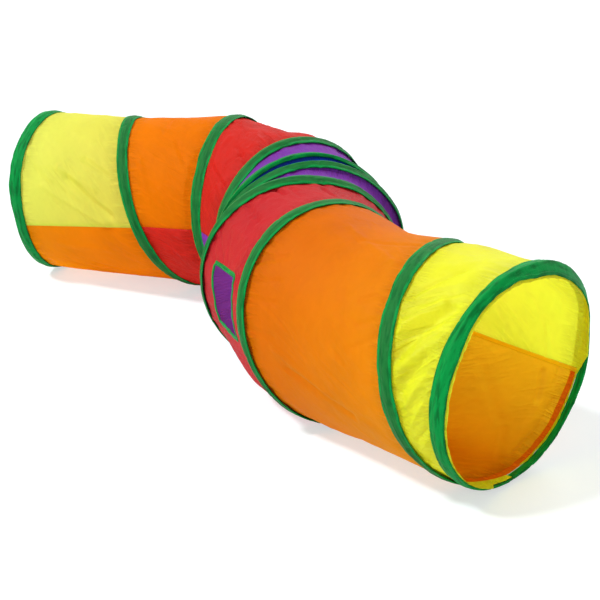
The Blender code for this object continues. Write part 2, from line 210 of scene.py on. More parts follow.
# %% The line of the tunnel
COIL_RADIUS = 0.1245
CLOTH_WIDTH = 0.190
TAPE_WIDTH = 0.020
TAPE_HALF_LEAST = 0.0033
CLOTH_LEAST_WIDTH = 0.004
RIDGE_HEIGHT = 0.0028
GAP = 0.0003

Strip = namedtuple("Strip", "colour pulled shift bend lean tuck sag seam skew")
STRIPS = (
    Strip("yellow", 0.663, 0.051, 0.0, 0.000, 0.010, 0.000, 105.0, 10.5),
    Strip("orange", 0.801, 0.147, -9.5, 0.232, 0.000, 0.000, 93.5, 3.0),
    Strip("red", 0.797, -0.027, -33.0, 0.067, 0.000, 0.000, 90.0, 2.0),
    Strip("purple", 0.397, -0.064, -9.0, 0.224, 0.020, 0.000, 162.0, 10.0),
    Strip("blue", 0.180, 0.004, -9.5, 0.057, 0.074, 0.000, 198.0, 10.0),
    Strip("purple", 0.292, -0.085, 0.0, -0.060, 0.032, 0.000, 259.0, 12.0),
    Strip("red", 0.565, -0.010, 17.5, -0.143, 0.000, 0.010, 259.0, 12.0),
    Strip("orange", 0.943, 0.148, 19.5, 0.007, 0.000, 0.035, 259.0, 2.5),
    Strip("yellow", 0.553, 0.094, 0.0, 0.000, 0.000, 0.000, None, None),
)
TURNS = len(STRIPS) + 1
WIRE_START = -0.5
WIRE_END = WIRE_START + TURNS
FIRST_STATION = WIRE_START + 1
LAST_STATION = WIRE_END - 1
CLOSED_PITCH = 2 * TAPE_HALF_LEAST + GAP
COIL_HEIGHT = COIL_RADIUS + RIDGE_HEIGHT
TURN_LENGTH = 2 * math.pi * COIL_RADIUS


def plan_stations():
    """Places and headings of the planes that the turns of wire cross at their tops."""
    places, headings = [np.zeros(2)], [0.0]
    for strip in STRIPS:
        bend = math.radians(strip.bend)
        middle = headings[-1] + bend / 2
        ahead = np.array([math.cos(middle), math.sin(middle)])
        aside = np.array([-math.sin(middle), math.cos(middle)])
        places.append(places[-1] + CLOTH_WIDTH * (strip.pulled * ahead + strip.shift * aside))
        headings.append(headings[-1] + bend)
    return np.array(places), np.array(headings)


def end_slope(h0, h1, d0, d1):
    """The slope at the end of a smooth curve, kept from overshooting."""
    slope = ((2 * h0 + h1) * d0 - h0 * d1) / (h0 + h1)
    if slope * d0 <= 0:
        return 0.0
    if d0 * d1 <= 0 and abs(slope) > 3 * abs(d0):
        return 3 * d0
    return slope


def smooth_curve(knots, values):
    """A function that passes through the values and never overshoots between them."""
    steps = np.diff(knots)
    rises = np.diff(values) / steps
    slopes = np.zeros(len(knots))
    for i in range(1, len(knots) - 1):
        if rises[i - 1] * rises[i] > 0:
            before = 2 * steps[i] + steps[i - 1]
            after = steps[i] + 2 * steps[i - 1]
            slopes[i] = (before + after) / (before / rises[i - 1] + after / rises[i])
    slopes[0] = end_slope(steps[0], steps[1], rises[0], rises[1])
    slopes[-1] = end_slope(steps[-1], steps[-2], rises[-1], rises[-2])

    def at(u):
        u = np.clip(u, knots[0], knots[-1])
        i = np.clip(np.searchsorted(knots, u, side="right") - 1, 0, len(steps) - 1)
        t = (u - knots[i]) / steps[i]
        start = (1 + 2 * t) * (1 - t) ** 2 * values[i] + t * (1 - t) ** 2 * steps[i] * slopes[i]
        end = t * t * (3 - 2 * t) * values[i + 1] + t * t * (t - 1) * steps[i] * slopes[i + 1]
        return start + end

    return at


KNOTS = np.array([FIRST_STATION, *range(1, TURNS - 1), LAST_STATION])
PLACES, HEADINGS = plan_stations()

# The working model is centred on its outline, and its first fold turns about a known line.
line_of_fold = np.array(joints["fold_strip_3"]["pos_m"][:2])


def fold_line(number):
    """The upright line on which the planes of a strip's two turns meet."""
    here, there = PLACES[number - 1], PLACES[number]
    sides = [np.array([-math.sin(h), math.cos(h)]) for h in HEADINGS[number - 1 : number + 1]]
    reach = np.linalg.solve(np.column_stack([sides[0], -sides[1]]), there - here)
    return here + reach[0] * sides[0]


PLACES = PLACES + (line_of_fold - fold_line(3))
middle_x = smooth_curve(KNOTS, PLACES[:, 0])
middle_y = smooth_curve(KNOTS, PLACES[:, 1])
middle_heading = smooth_curve(KNOTS, HEADINGS)
print("far station", PLACES[0].round(4), "near station", PLACES[-1].round(4))

# %% [markdown]
# Places on the wire are counted in turns from the first top. From a place we get the direction
# along the tunnel, the direction out of it, and the wire's own centre. The two closed turns at the
# mouths lie almost flat against their neighbours.


# %% Points on the wire
def ahead_at(heading):
    """Level directions for headings."""
    return np.stack([np.cos(heading), np.sin(heading), np.zeros_like(heading)], axis=-1)


def outward_of(u, heading=None):
    """The directions out of the tunnel at places on the wire."""
    heading = middle_heading(u) if heading is None else heading
    angle = 2 * math.pi * u
    right = np.stack([np.sin(heading), -np.cos(heading), np.zeros_like(heading)], axis=-1)
    up = np.array([0.0, 0.0, 1.0])
    return np.sin(angle)[..., None] * right + np.cos(angle)[..., None] * up


LEANS = np.array([strip.lean for strip in STRIPS]) * CLOTH_WIDTH


def middle_of(u):
    """The points on the tunnel's middle line for places on the wire."""
    inner = np.clip(u, FIRST_STATION, LAST_STATION)
    turn = np.minimum(np.floor(inner).astype(int), len(STRIPS) - 1)
    along = LEANS[turn] * (1 - np.cos(2 * math.pi * inner)) / 2 + CLOSED_PITCH * (u - inner)
    level = np.stack([middle_x(u), middle_y(u), np.full_like(u, COIL_HEIGHT)], axis=-1)
    return level + along[..., None] * ahead_at(middle_heading(u))


# No hoop is quite round. At these places the wire is this many millimetres inside its circle.
DENTS = (
    (-0.5, 0.0), (-0.25, 0.0), (-0.18, 4.0), (-0.12, 12.0), (-0.06, 18.0), (-0.02, 14.0), (0.0, 9.5),
    (0.03, 3.0), (0.06, -1.0), (0.1, -4.5), (0.15, -6.5), (0.2, -3.5), (0.24, 1.0), (0.28, 4.0),
    (0.33, 2.5), (0.38, -1.0), (0.42, -3.0), (0.47, -1.0), (0.5, 0.0), (0.8, 0.0), (0.88, 6.0),
    (0.93, 10.5), (0.97, 10.0), (1.0, 6.0), (1.04, 1.0), (1.1, 0.0), (1.8, 0.0), (1.86, -3.0),
    (1.95, -4.5), (2.03, -4.5), (2.1, -2.0), (2.16, 0.0), (2.8, 0.0), (2.88, -4.0), (2.97, -5.0),
    (3.06, -3.0), (3.12, 0.0), (3.76, 0.0), (3.85, -4.0), (3.97, -4.5), (4.06, -2.0), (4.12, 0.0),
    (4.74, 0.0), (4.83, -5.0), (4.95, -5.0), (5.03, -2.0), (5.1, 0.0), (5.72, 0.0), (5.81, -4.0),
    (5.9, -4.0), (5.98, 0.0), (6.7, 0.0), (6.85, -2.0), (6.95, -1.5), (7.03, 0.0), (7.28, 0.0),
    (7.4, -2.5), (7.48, 0.0), (7.88, 0.0), (7.99, 3.0), (8.1, 0.6), (8.2, 0.0), (8.33, -2.4),
    (8.42, -2.6), (8.47, 0.0), (8.52, 3.2), (8.58, 4.4), (8.67, 7.0), (8.74, 6.6), (8.78, 3.6),
    (8.81, -2.0), (8.84, -4.6), (8.88, -4.0), (8.94, -1.0), (9.0, 2.2), (9.08, 1.0), (9.14, 0.0),
    (9.25, -1.9), (9.33, -3.0), (9.42, -1.2), (9.46, 1.0), (9.5, 2.8),
)  # fmt: skip
dent = smooth_curve(*np.array(DENTS).T)

# On its near side the tape leans inward by this share of the way from the wire: at the near mouth,
# and on top of the tight bend, where the cloth beside it dives in.
LEANS_IN = (
    (2.85, 0.0), (3.0, 0.45), (3.15, 0.3), (3.3, 0.0), (3.8, 0.0), (3.95, 0.5), (4.1, 0.9), (4.3, 0.2),
    (4.4, 0.0), (4.8, 0.0), (5.0, 0.5), (5.15, 0.4), (5.3, 0.0), (5.8, 0.0), (6.0, 0.5), (6.12, 0.4),
    (6.25, 0.0), (8.5, 0.0), (8.6, 0.1), (8.72, 0.1), (8.8, 0.7), (8.9, 1.2), (9.03, 1.1), (9.16, 0.5),
    (9.3, 0.1), (9.5, 0.0),
)  # fmt: skip
lean_in = smooth_curve(*np.array(LEANS_IN).T)
LEAN_FROM = 0.001  # beside the wire's centre
MILLIMETRE = 0.001


def coil_point(u, out, along):
    """Points at, outside or beside the wire's centre."""
    out = out - MILLIMETRE * dent(u) - lean_in(u) * np.clip(along - LEAN_FROM, 0, None)
    spoke = (COIL_RADIUS + out)[..., None] * outward_of(u)
    return middle_of(u) + spoke + along[..., None] * ahead_at(middle_heading(u))


def on_wire(u):
    """The wire's centre."""
    return coil_point(u, np.zeros_like(u), np.zeros_like(u))


def turn_gap(u):
    """From the wire to the wire one turn on, measured along the tunnel."""
    ahead = ahead_at(middle_heading(u)) + ahead_at(middle_heading(u + 1))
    ahead /= np.linalg.norm(ahead, axis=-1, keepdims=True)
    return np.sum((on_wire(u + 1) - on_wire(u)) * ahead, axis=-1)


tops = np.arange(0.0, TURNS - 1.0)
print("gaps along the top, mm:", (1000 * turn_gap(tops)).round())

# %% [markdown]
# The tape is wide where two turns of wire lie far apart, and folded to a thin hem where they lie
# close together. It was sewn by hand and eye, so its two sides aren't quite even all along. At both
# mouths it has its full width.

# %% The tape's width
# Places on the wire, and how much wider or narrower than usual the tape is there.
BEFORE_WIDTHS = (
    (2.0, 1.0), (2.15, 2.0), (2.42, 1.8), (2.55, 1.0), (2.8, 1.0), (2.95, 1.4), (3.25, 1.3), (3.45, 1.0),
    (4.85, 1.0), (4.95, 0.5), (5.2, 0.5), (5.35, 1.0), (6.85, 1.0), (6.97, 1.4), (7.4, 1.5), (7.55, 1.0),
    (8.5, 1.0), (8.55, 0.5), (8.9, 0.5), (8.96, 1.0), (9.07, 0.75), (9.12, 0.85), (9.2, 1.0),
)  # fmt: skip
AFTER_WIDTHS = (
    (1.0, 1.0), (1.2, 1.15), (1.45, 1.1), (1.55, 1.0), (2.03, 1.0), (2.12, 3.0), (2.36, 3.0),
    (2.46, 1.2), (2.55, 1.0), (3.85, 1.0), (3.95, 0.35), (4.25, 0.35), (4.4, 1.0), (6.85, 1.0),
    (6.97, 1.5), (7.35, 1.4), (7.55, 1.0), (8.96, 1.0), (9.07, 0.65), (9.12, 0.75), (9.2, 1.1),
    (9.35, 1.0),
)  # fmt: skip
RIM_TAPER = 0.13  # turns over which the tape narrows at each end of the wire


def half_tape(gap):
    """The half width of tape that fits in the gap between two turns."""
    room = (gap - CLOTH_LEAST_WIDTH - 2 * GAP) / 2
    return np.clip(room, TAPE_HALF_LEAST, TAPE_WIDTH / 2)


def rim_half(turns_from_end):
    """The half width of the tape at a mouth, which narrows only at the very end of the wire."""
    return np.interp(turns_from_end, (0.0, RIM_TAPER), (TAPE_HALF_LEAST, TAPE_WIDTH / 2))


def tape_before(u):
    """The half width of the tape on its far side."""
    half = half_tape(turn_gap(u - 1)) * np.interp(u, *np.array(BEFORE_WIDTHS).T)
    half = np.minimum(half, TAPE_WIDTH / 2)
    return np.where(u - 1 < WIRE_START, rim_half(u - WIRE_START), half)


def tape_after(u):
    """The half width of the tape on its near side."""
    half = np.where(u + 1 > WIRE_END, rim_half(WIRE_END - u), half_tape(turn_gap(u)))
    return np.minimum(half * np.interp(u, *np.array(AFTER_WIDTHS).T), TAPE_WIDTH / 2)


print("tape beside the tops, mm:", (1000 * (tape_before(tops + 1) + tape_after(tops))).round(1))

# %% [markdown]
# Creases are what make cloth look like cloth. They come from one helper that gives smooth, aimless
# ups and downs on a grid of random numbers with a fixed seed, so that each run gives the same ones.
# Stretched along one direction it gives folds, and taken without its sign it gives sharp creases.


# %% Aimless ups and downs
NOISE_CELLS = 64


def ripples(x, y, seed):
    """Smooth variation between -1 and 1 over the plane, about one unit from high to low."""
    table = np.random.default_rng(seed).uniform(-1, 1, (NOISE_CELLS, NOISE_CELLS))
    i, j = np.floor(x).astype(int), np.floor(y).astype(int)
    a, b = x - i, y - j
    a, b = a * a * (3 - 2 * a), b * b * (3 - 2 * b)
    i, j, k, m = i % NOISE_CELLS, j % NOISE_CELLS, (i + 1) % NOISE_CELLS, (j + 1) % NOISE_CELLS
    low = table[i, j] * (1 - a) + table[k, j] * a
    high = table[i, m] * (1 - a) + table[k, m] * a
    return low * (1 - b) + high * b


def creases(x, y, seed):
    """Sharp ridges, from 0 between them to 1 on them."""
    return 1 - np.abs(ripples(x, y, seed) + 0.5 * ripples(2.1 * x, 2.1 * y, seed + 1)) / 1.5


print("noise sample", ripples(np.array([0.3]), np.array([0.7]), 1).round(3))

# %% [markdown]
# The tunnel folds between its turns of wire, so each piece of cloth and tape has to be cut where
# the folding changes: at the plane of each turn, and halfway round each bend. Between two such cuts
# everything flattens towards the turn that it belongs to. We list those slabs once, far to near.

# %% The slabs that fold
Slab = namedtuple("Slab", "name body joint ahead anchor keep start end")
Cut = namedtuple("Cut", "place ahead")


def upright(place):
    """A plan point at the height of the tunnel's middle."""
    return (float(place[0]), float(place[1]), COIL_HEIGHT)


def heading_vector(heading):
    """A level direction as plain numbers."""
    return (math.cos(heading), math.sin(heading), 0.0)


def make_slabs():
    """The stretches between cuts, each with the body it rides on and the joint that flattens it."""
    cuts = [Cut(upright(p), heading_vector(h)) for p, h in zip(PLACES, HEADINGS)]
    slabs = [Slab("far_hoop", "turn_1", None, None, None, None, None, cuts[0])]
    for number, strip in enumerate(STRIPS, start=1):
        start, end = cuts[number - 1], cuts[number]
        bodies = (f"turn_{number}", f"turn_{number + 1}")
        joint = f"fold_strip_{number}"
        if strip.bend == 0:
            length = float(np.dot(np.subtract(end.place, start.place), start.ahead))
            keep = 1 - joints[joint]["range_m"][1] / length
            name = f"fold_{number}"
            slabs.append(Slab(name, bodies[0], joint, start.ahead, start.place, keep, start, end))
            continue
        bend = abs(math.radians(strip.bend))
        left = bend - math.radians(joints[joint]["range_deg"][1])
        keep = math.tan(left / 2) / math.tan(bend / 2)
        middle_ahead = heading_vector((HEADINGS[number - 1] + HEADINGS[number]) / 2)
        middle = Cut(upright(joints[joint]["pos_m"]), middle_ahead)
        first = (f"fold_{number}a", bodies[0], joint, start.ahead, start.place, keep, start, middle)
        second = (f"fold_{number}b", bodies[1], joint, end.ahead, end.place, keep, middle, end)
        slabs += [Slab(*first), Slab(*second)]
    slabs.append(Slab("near_hoop", f"turn_{TURNS}", None, None, None, None, cuts[-1], None))
    return slabs


SLABS = make_slabs()
print(f"{len(SLABS)} slabs, folding to {min(s.keep for s in SLABS if s.keep):.3f} of their depth")

# %% [markdown]
# A grid of points becomes a mesh with two things stored at each point: its place on the cloth in
# metres, which the finishes read, and the smooth normal of the whole sheet. A cut piece would
# otherwise shade its new edges by itself, and each cut would show as a line.


# %% Grids, meshes and cuts
def grid_normals(points, wraps):
    """The smooth normal at each point of a grid."""
    rows = np.gradient(points, axis=0)
    if wraps:
        columns = (np.roll(points, -1, axis=1) - np.roll(points, 1, axis=1)) / 2
    else:
        columns = np.gradient(points, axis=1)
    normals = np.cross(rows, columns)
    length = np.linalg.norm(normals, axis=-1, keepdims=True)
    return normals / np.maximum(length, 1e-12)


def grid_mesh(name, points, stored, wraps=False, holes=None):
    """A mesh from a grid of points, which may wrap round and may leave cells out."""
    rows, columns = points.shape[:2]
    index = np.arange(rows * columns).reshape(rows, columns)
    a, b = index[:-1], index[1:]
    if wraps:
        quads = np.stack([a, b, np.roll(b, -1, axis=1), np.roll(a, -1, axis=1)], axis=-1)
    else:
        quads = np.stack([a[:, :-1], b[:, :-1], b[:, 1:], a[:, 1:]], axis=-1)
    quads = quads.reshape(-1, 4)
    if holes is not None:
        quads = quads[~holes]
    mesh = bpy.data.meshes.new(name)
    mesh.from_pydata(points.reshape(-1, 3).tolist(), [], quads.tolist())
    store(mesh, "on_cloth", stored.reshape(-1, 3))
    store(mesh, "smooth_normal", grid_normals(points, wraps).reshape(-1, 3))
    return mesh


def store(mesh, name, vectors):
    """Keep a vector at each point of a mesh."""
    attribute = mesh.attributes.new(name, "FLOAT_VECTOR", "POINT")
    attribute.data.foreach_set("vector", vectors.astype(np.float32).ravel())


def read(mesh, name):
    """The vectors that a mesh keeps at its points."""
    vectors = np.zeros(len(mesh.vertices) * 3, np.float32)
    mesh.attributes[name].data.foreach_get("vector", vectors)
    return vectors.reshape(-1, 3)


def points_of(mesh):
    """The points of a mesh."""
    points = np.zeros(len(mesh.vertices) * 3, np.float32)
    mesh.vertices.foreach_get("co", points)
    return points.reshape(-1, 3)


def slabs_across(points, least):
    """The slabs that hold more than the least share of some points."""
    found = []
    for slab in SLABS:
        inside = np.ones(len(points), bool)
        if slab.start:
            inside &= (points - slab.start.place) @ np.array(slab.start.ahead) >= 0
        if slab.end:
            inside &= (points - slab.end.place) @ np.array(slab.end.ahead) < 0
        if inside.mean() > least:
            found.append(slab)
    return found


def cut_mesh(mesh, slab, first, last):
    """A copy of a mesh with only what lies in a slab."""
    bm = bmesh.new()
    bm.from_mesh(mesh)
    for cut, outer, wanted in ((slab.start, False, not first), (slab.end, True, not last)):
        if cut and wanted:
            geometry = bm.verts[:] + bm.edges[:] + bm.faces[:]
            settings = {"plane_co": cut.place, "plane_no": cut.ahead, "dist": 1e-7}
            settings["clear_outer"] = outer
            settings["clear_inner"] = not outer
            bmesh.ops.bisect_plane(bm, geom=geometry, **settings)
    made = bpy.data.meshes.new(mesh.name)
    bm.to_mesh(made)
    bm.free()
    return made


def smooth_over_cuts(mesh):
    """Shade a cut piece by the smooth normals of the sheet it was cut from."""
    mesh.shade_smooth()
    normals = read(mesh, "smooth_normal")
    normals /= np.maximum(np.linalg.norm(normals, axis=1, keepdims=True), 1e-9)
    mesh.normals_split_custom_set_from_vertices(normals.tolist())
    mesh.attributes.remove(mesh.attributes["smooth_normal"])


def place_in_slabs(name, mesh, material, nodes, least=0.0):
    """Cut a mesh at the slabs, and let each part ride with its own turn."""
    pieces = []
    slabs = slabs_across(points_of(mesh), least)
    for i, slab in enumerate(slabs):
        part = cut_mesh(mesh, slab, i == 0, i == len(slabs) - 1)
        if not part.polygons:
            continue
        smooth_over_cuts(part)
        part.materials.append(material)
        piece = bpy.data.objects.new(f"{name}_{slab.name}", part)
        bpy.context.scene.collection.objects.link(piece)
        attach(piece, slab.body)
        if slab.joint:
            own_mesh(piece)
        if nodes:
            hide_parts(*nodes)
        pieces.append(piece)
    bpy.data.meshes.remove(mesh)
    return pieces


print("cutting ready")

# %% [markdown]
# A strip of cloth runs from one turn of the wire to the next. At its ends it is cut square to the
# sloping wire, so its own lines run askew. Here it is still straight: a chord between the wires.

# %% Straight cloth between two turns
CLOTH_BELOW_TAPE = 0.0009
SKEW_TAPER = 0.2
TAPER_TURNS = 0.13
CLOTH_STEP = 0.0022

SEAMS = [(turn + strip.seam / 360, strip.skew / 360) for turn, strip in enumerate(STRIPS[:-1])]
seam_skew = smooth_curve(*np.array(SEAMS).T)


def skewed_place(u, t):
    """The place whose spoke passes through a point of a line cut square to the wire."""
    inside = np.minimum(u - WIRE_START, LAST_STATION - u) - 2 * TAPER_TURNS
    reach = np.clip(inside / SKEW_TAPER, 0, 1)
    return u - seam_skew(u) * reach * t


def cloth_base(u, t):
    """The straight cloth between two turns: its points, its outward directions and its width."""
    place = skewed_place(u, t)
    below = np.full_like(place, -CLOTH_BELOW_TAPE)
    low = coil_point(place, below, np.zeros_like(place))
    high = coil_point(place + 1, below, np.zeros_like(place))
    width = np.linalg.norm(high - low, axis=-1)
    heading = (1 - t) * middle_heading(place) + t * middle_heading(place + 1)
    points = (1 - t)[..., None] * low + t[..., None] * high
    return points, outward_of(place, heading), width


def strip_span(number):
    """The places where a strip starts and ends."""
    start = WIRE_START if number == 1 else number - 2 + STRIPS[number - 2].seam / 360
    end = LAST_STATION if number == len(STRIPS) else number - 1 + STRIPS[number - 1].seam / 360
    return start, end


spans = [strip_span(number) for number in range(1, TURNS)]
print("strips run for", [round(end - start, 2) for start, end in spans], "turns")

# %% [markdown]
# Cloth is never straight. Three kinds of unevenness are worked out for every strip: gathers beside
# each tape, broad soft folds, and crinkles. At a cross seam the cloth dips along the thread and
# puckers to both sides of it.

# %% Folds and crinkles
GATHER_REACH = 0.014
FOLDS_FROM = 0.03  # nearer to the tape than this the broad folds fade
SEAM_CALM = 0.010  # and so does everything beside a seam
SEAM_GROOVE = 0.0008
SEAM_GROOVE_HALF = 0.0018
SEAM_PUCKER = 0.0006

# How deep each kind of unevenness is on a strip, in metres, and which way its folds run.
Drape = namedtuple("Drape", "gathers folds fold_angle fold_size crinkles")
DRAPES = (
    Drape(0.0018, 0.0060, 52.0, 0.030, 0.0012),
    Drape(0.0018, 0.0040, 75.0, 0.024, 0.0012),
    Drape(0.0026, 0.0052, 60.0, 0.024, 0.0022),
    Drape(0.0016, 0.0026, 80.0, 0.020, 0.0012),
    Drape(0.0012, 0.0026, 80.0, 0.020, 0.0012),
    Drape(0.0016, 0.0026, 80.0, 0.020, 0.0012),
    Drape(0.0026, 0.0044, 75.0, 0.024, 0.0022),
    Drape(0.0022, 0.0026, 35.0, 0.036, 0.0010),
    Drape(0.0018, 0.0070, 125.0, 0.026, 0.0012),
)


def fold_height(number, s, w, width):
    """How far the cloth stands out from its straight surface, in metres."""
    drape = DRAPES[number - 1]
    seed = 10 * number
    edge = np.minimum(w, width - w)
    near = np.exp(-np.maximum(edge - TAPE_WIDTH / 3, 0) / GATHER_REACH)
    free = np.clip(edge / FOLDS_FROM, 0, 1)
    angle = math.radians(drape.fold_angle)
    along = s * math.cos(angle) + w * math.sin(angle)
    across = -s * math.sin(angle) + w * math.cos(angle)
    across = across + 0.008 * ripples(s / 0.05, w / 0.05, seed + 1)
    busy = 0.35 + 0.65 * np.clip(0.5 + ripples(s / 0.11, w / 0.08, seed + 2), 0, 1)
    fold = 0.5 * ripples(across / drape.fold_size, along / (4 * drape.fold_size), seed + 3)
    fold += 0.5 * (creases(across / drape.fold_size, along / (5 * drape.fold_size), seed + 4) - 0.6)
    soft = ripples(s / 0.09, w / 0.07, seed + 5)
    crinkle = creases(s / 0.016, w / 0.020, seed + 7) - 0.6
    height = drape.gathers * near * ripples(s / 0.009, w / 0.05, seed)
    height += free * (drape.folds * (busy * fold + 0.4 * soft) + drape.crinkles * busy * crinkle)
    to_seam = np.full_like(s, 1.0)
    for border in seams_of(number):
        to_seam = np.minimum(to_seam, np.abs(s - TURN_LENGTH * border))
    height *= np.clip(to_seam / SEAM_CALM, 0, 1)
    height -= SEAM_GROOVE * np.exp(-((to_seam / SEAM_GROOVE_HALF) ** 2))
    pucker = SEAM_PUCKER * (np.exp(-to_seam / 0.012) - np.exp(-to_seam / 0.003))
    return height + pucker * ripples(w / 0.007, s / 0.03, seed + 9)


def seams_of(number):
    """The places where a strip is sewn to the strips before and after it."""
    start, end = strip_span(number)
    return ([start] if number > 1 else []) + ([end] if number < len(STRIPS) else [])


print("deepest folds, mm:", [round(1000 * drape.folds, 1) for drape in DRAPES])

# %% [markdown]
# Some folds are so plain that each is listed, as a soft line with a height. Most are creases
# from lying packed flat. Those of the ninth strip run aslant, as if the near mouth had been wrung.

# %% The plainest folds
# Each fold runs straight between two points, given as a place in turns and a share of the strip's
# width. The last two numbers are its height and its half width in millimetres, and where the height
# is negative the cloth dips.
FOLDS = {
    1: (
        (0.196, 0.46, 0.268, 0.8, -5.5, 6),
        (0.211, 0.25, 0.283, 0.74, 3.6, 5),
        (0.163, 0.62, 0.196, 0.85, -2.8, 4),
        (0.178, 0.39, 0.22, 0.72, 2.8, 5),
        (0.139, 0.07, 0.199, 0.31, 1.4, 5),
        (0.094, 0.39, 0.145, 0.82, 1.4, 6),
    ),
    2: (
        (1.072, 0.43, 1.018, 0.43, -1.6, 3.3),
        (1.096, 0.62, 1.138, 0.77, -2, 4),
        (1.138, 0.22, 1.21, 0.33, 1.4, 5),
        (1.192, 0.49, 1.234, 0.69, 1.4, 4),
        (0.379, 0.46, 0.397, 0.65, -2.2, 3.3),
        (0.331, 0.28, 0.34, 0.67, 1.4, 6),
    ),
    3: (
        (2.118, 0.56, 2.088, 0.69, -3.2, 3.3),
        (2.13, 0.28, 2.151, 0.74, -3.2, 3.3),
        (2.154, 0.72, 2.13, 0.93, -2.7, 3.3),
        (2.076, 0.54, 2.097, 0.9, -2.6, 3.3),
        (2.187, 0.43, 2.142, 0.64, 1.8, 4),
        (2.061, 0.28, 2.115, 0.25, 1.8, 5),
        (1.284, 0.31, 1.329, 0.56, -1.4, 5),
    ),
    7: (
        (6.166, 0.09, 6.205, 0.41, -2.6, 3.3),
        (6.181, 0.07, 6.211, 0.25, -2.1, 3.3),
        (6.163, 0.35, 6.205, 0.52, -1.6, 3.3),
        (6.103, 0.15, 6.118, 0.57, -3.6, 5),
        (6.049, 0.02, 6.052, 0.38, -4.2, 3.3),
        (5.983, 0.31, 5.983, 0.62, -3.4, 3.3),
        (6.109, 0.43, 6.142, 0.56, 2.2, 4),
        (6.079, 0.23, 6.118, 0.39, 2.1, 3.3),
        (6.034, 0.26, 6.04, 0.59, -1.6, 3.3),
        (6.148, 0.28, 6.154, 0.67, 1.8, 5),
    ),
    8: (
        (7.289, 0.28, 7.328, 0.67, -2.5, 5),
        (7.262, 0.22, 7.31, 0.56, 1.4, 6),
        (7.145, 0.04, 7.124, 0.2, -1.6, 3.3),
        (7.172, 0.09, 7.163, 0.23, -1.6, 3.3),
        (7.199, 0.09, 7.196, 0.25, -1.4, 3.3),
        (7.244, 0.05, 7.244, 0.22, -1.4, 3.3),
        (7.16, 0.78, 7.142, 0.93, -1.9, 3.3),
        (7.193, 0.8, 7.178, 0.95, -1.9, 3.3),
        (7.229, 0.75, 7.202, 0.95, -1.4, 3.3),
        (7.124, 0.98, 7.151, 0.93, -1.6, 3.3),
        (7.052, 0.54, 7.037, 0.91, -1.4, 4),
        (7.028, 0.36, 7.091, 0.88, 1.4, 5),
        (7.697, 0.75, 7.652, 0.8, -2.7, 3.3),
        (7.712, 0.87, 7.685, 0.87, -2.1, 3.3),
        (7.661, 0.91, 7.568, 0.91, -2.5, 4),
        (7.649, 0.82, 7.553, 0.87, 1.8, 5),
        (7.679, 0.25, 7.604, 0.65, -1.4, 6),
        (7.595, 0.72, 7.538, 0.87, -1.8, 4),
    ),
    9: (
        (8.19, 0.22, 8.115, 0.75, -5.3, 7),
        (8.166, 0.1, 8.109, 0.59, 3.5, 6),
        (8.214, 0.23, 8.148, 0.91, 3.9, 6),
        (8.121, 0.12, 8.052, 0.59, -1.8, 2.5),
        (8.238, 0.26, 8.178, 0.67, -3.5, 6),
        (8.256, 0.38, 8.199, 0.78, 2.6, 4),
        (8.28, 0.43, 8.232, 0.85, 2.1, 3),
        (8.304, 0.44, 8.268, 0.9, -2.1, 3),
        (8.325, 0.38, 8.286, 0.98, 1.8, 3),
        (8.364, 0.1, 8.307, 0.98, -1.8, 3),
        (7.767, 0.69, 7.719, 0.75, -1.8, 2.5),
        (7.803, 0.52, 7.758, 0.67, 1.4, 5),
    ),
}


def seen_folds(number, u, t):
    """The height of a strip's plainest folds."""
    height = np.zeros(np.broadcast(u, t).shape)
    for u0, t0, u1, t1, rise, half in FOLDS.get(number, ()):
        width = cloth_base(np.array([(u0 + u1) / 2]), np.array([0.5]))[2][0]
        run, span = (u1 - u0) * TURN_LENGTH, (t1 - t0) * width
        x, y = (u - u0) * TURN_LENGTH, (t - t0) * width
        share = np.clip((x * run + y * span) / (run * run + span * span), 0, 1)
        apart = np.hypot(x - share * run, y - share * span)
        height += MILLIMETRE * rise * np.exp(-((1000 * apart / half) ** 2))
    return height


print(sum(len(lines) for lines in FOLDS.values()), "folds placed by hand")

# %% [markdown]
# Slack cloth is drawn in between its wires, most of all in the tight bend, and by the near mouth's
# leg two strips belly out. With the folds on top, that is the cloth's whole height over its chord.
# It is held down under the tape, which would otherwise be pierced by it.

# %% The cloth's whole shape
SEAM_BLEND = 0.06  # turns over which two strips' shapes run into each other
INFOLDS = {5: 0.05, 6: 0.15}  # extra draw-in on the side of the peephole
INFOLD_ROOM = 0.012
EDGE_EASE = 0.012  # nearer to a wire than this the cloth can't rise or dip much
DIP_REACH = 0.009  # beside a wire the cloth follows the tape's lean, and past this it eases off
DIP_EASE = 0.02
TAPE_CATCH = 0.0004  # how far the cloth under the tape may rise
RISE_MOST = 0.004

# Where a strip bellies out or sags: its place, its reach in turns and its height.
BULGES = {1: (-0.05, 0.1, -0.003), 7: (6.415, 0.07, 0.012), 8: (6.97, 0.09, -0.003)}

# Where the cloth beside the near hoop is pulled in, on the side away from the camera.
MOUTH_PULL = 0.008
PULL_PLACE = 7.90
PULL_TURNS = 0.07
PULL_START = 0.010
PULL_EASE = 0.022


def own_drop(number, u):
    """How far a strip's middle is drawn in, as a share of the full width of its cloth."""
    strip = STRIPS[number - 1]
    deep = INFOLDS.get(number, 0.0) * np.clip(np.sin(2 * math.pi * u), 0, 1) ** 2
    return strip.tuck + strip.sag * (1 + np.cos(2 * math.pi * u)) / 2 + deep


def drop_at(number, u):
    """The same, running smoothly into the next strip at each seam."""
    drop = own_drop(number, u)
    for neighbour, place in ((number - 1, strip_span(number)[0]), (number + 1, strip_span(number)[1])):
        if 1 <= neighbour <= len(STRIPS):
            near = np.clip(1 - np.abs(u - place) / SEAM_BLEND, 0, 1)
            share = 0.5 * near * near * (3 - 2 * near)
            drop = drop + share * (own_drop(neighbour, u) - own_drop(number, u))
    return drop


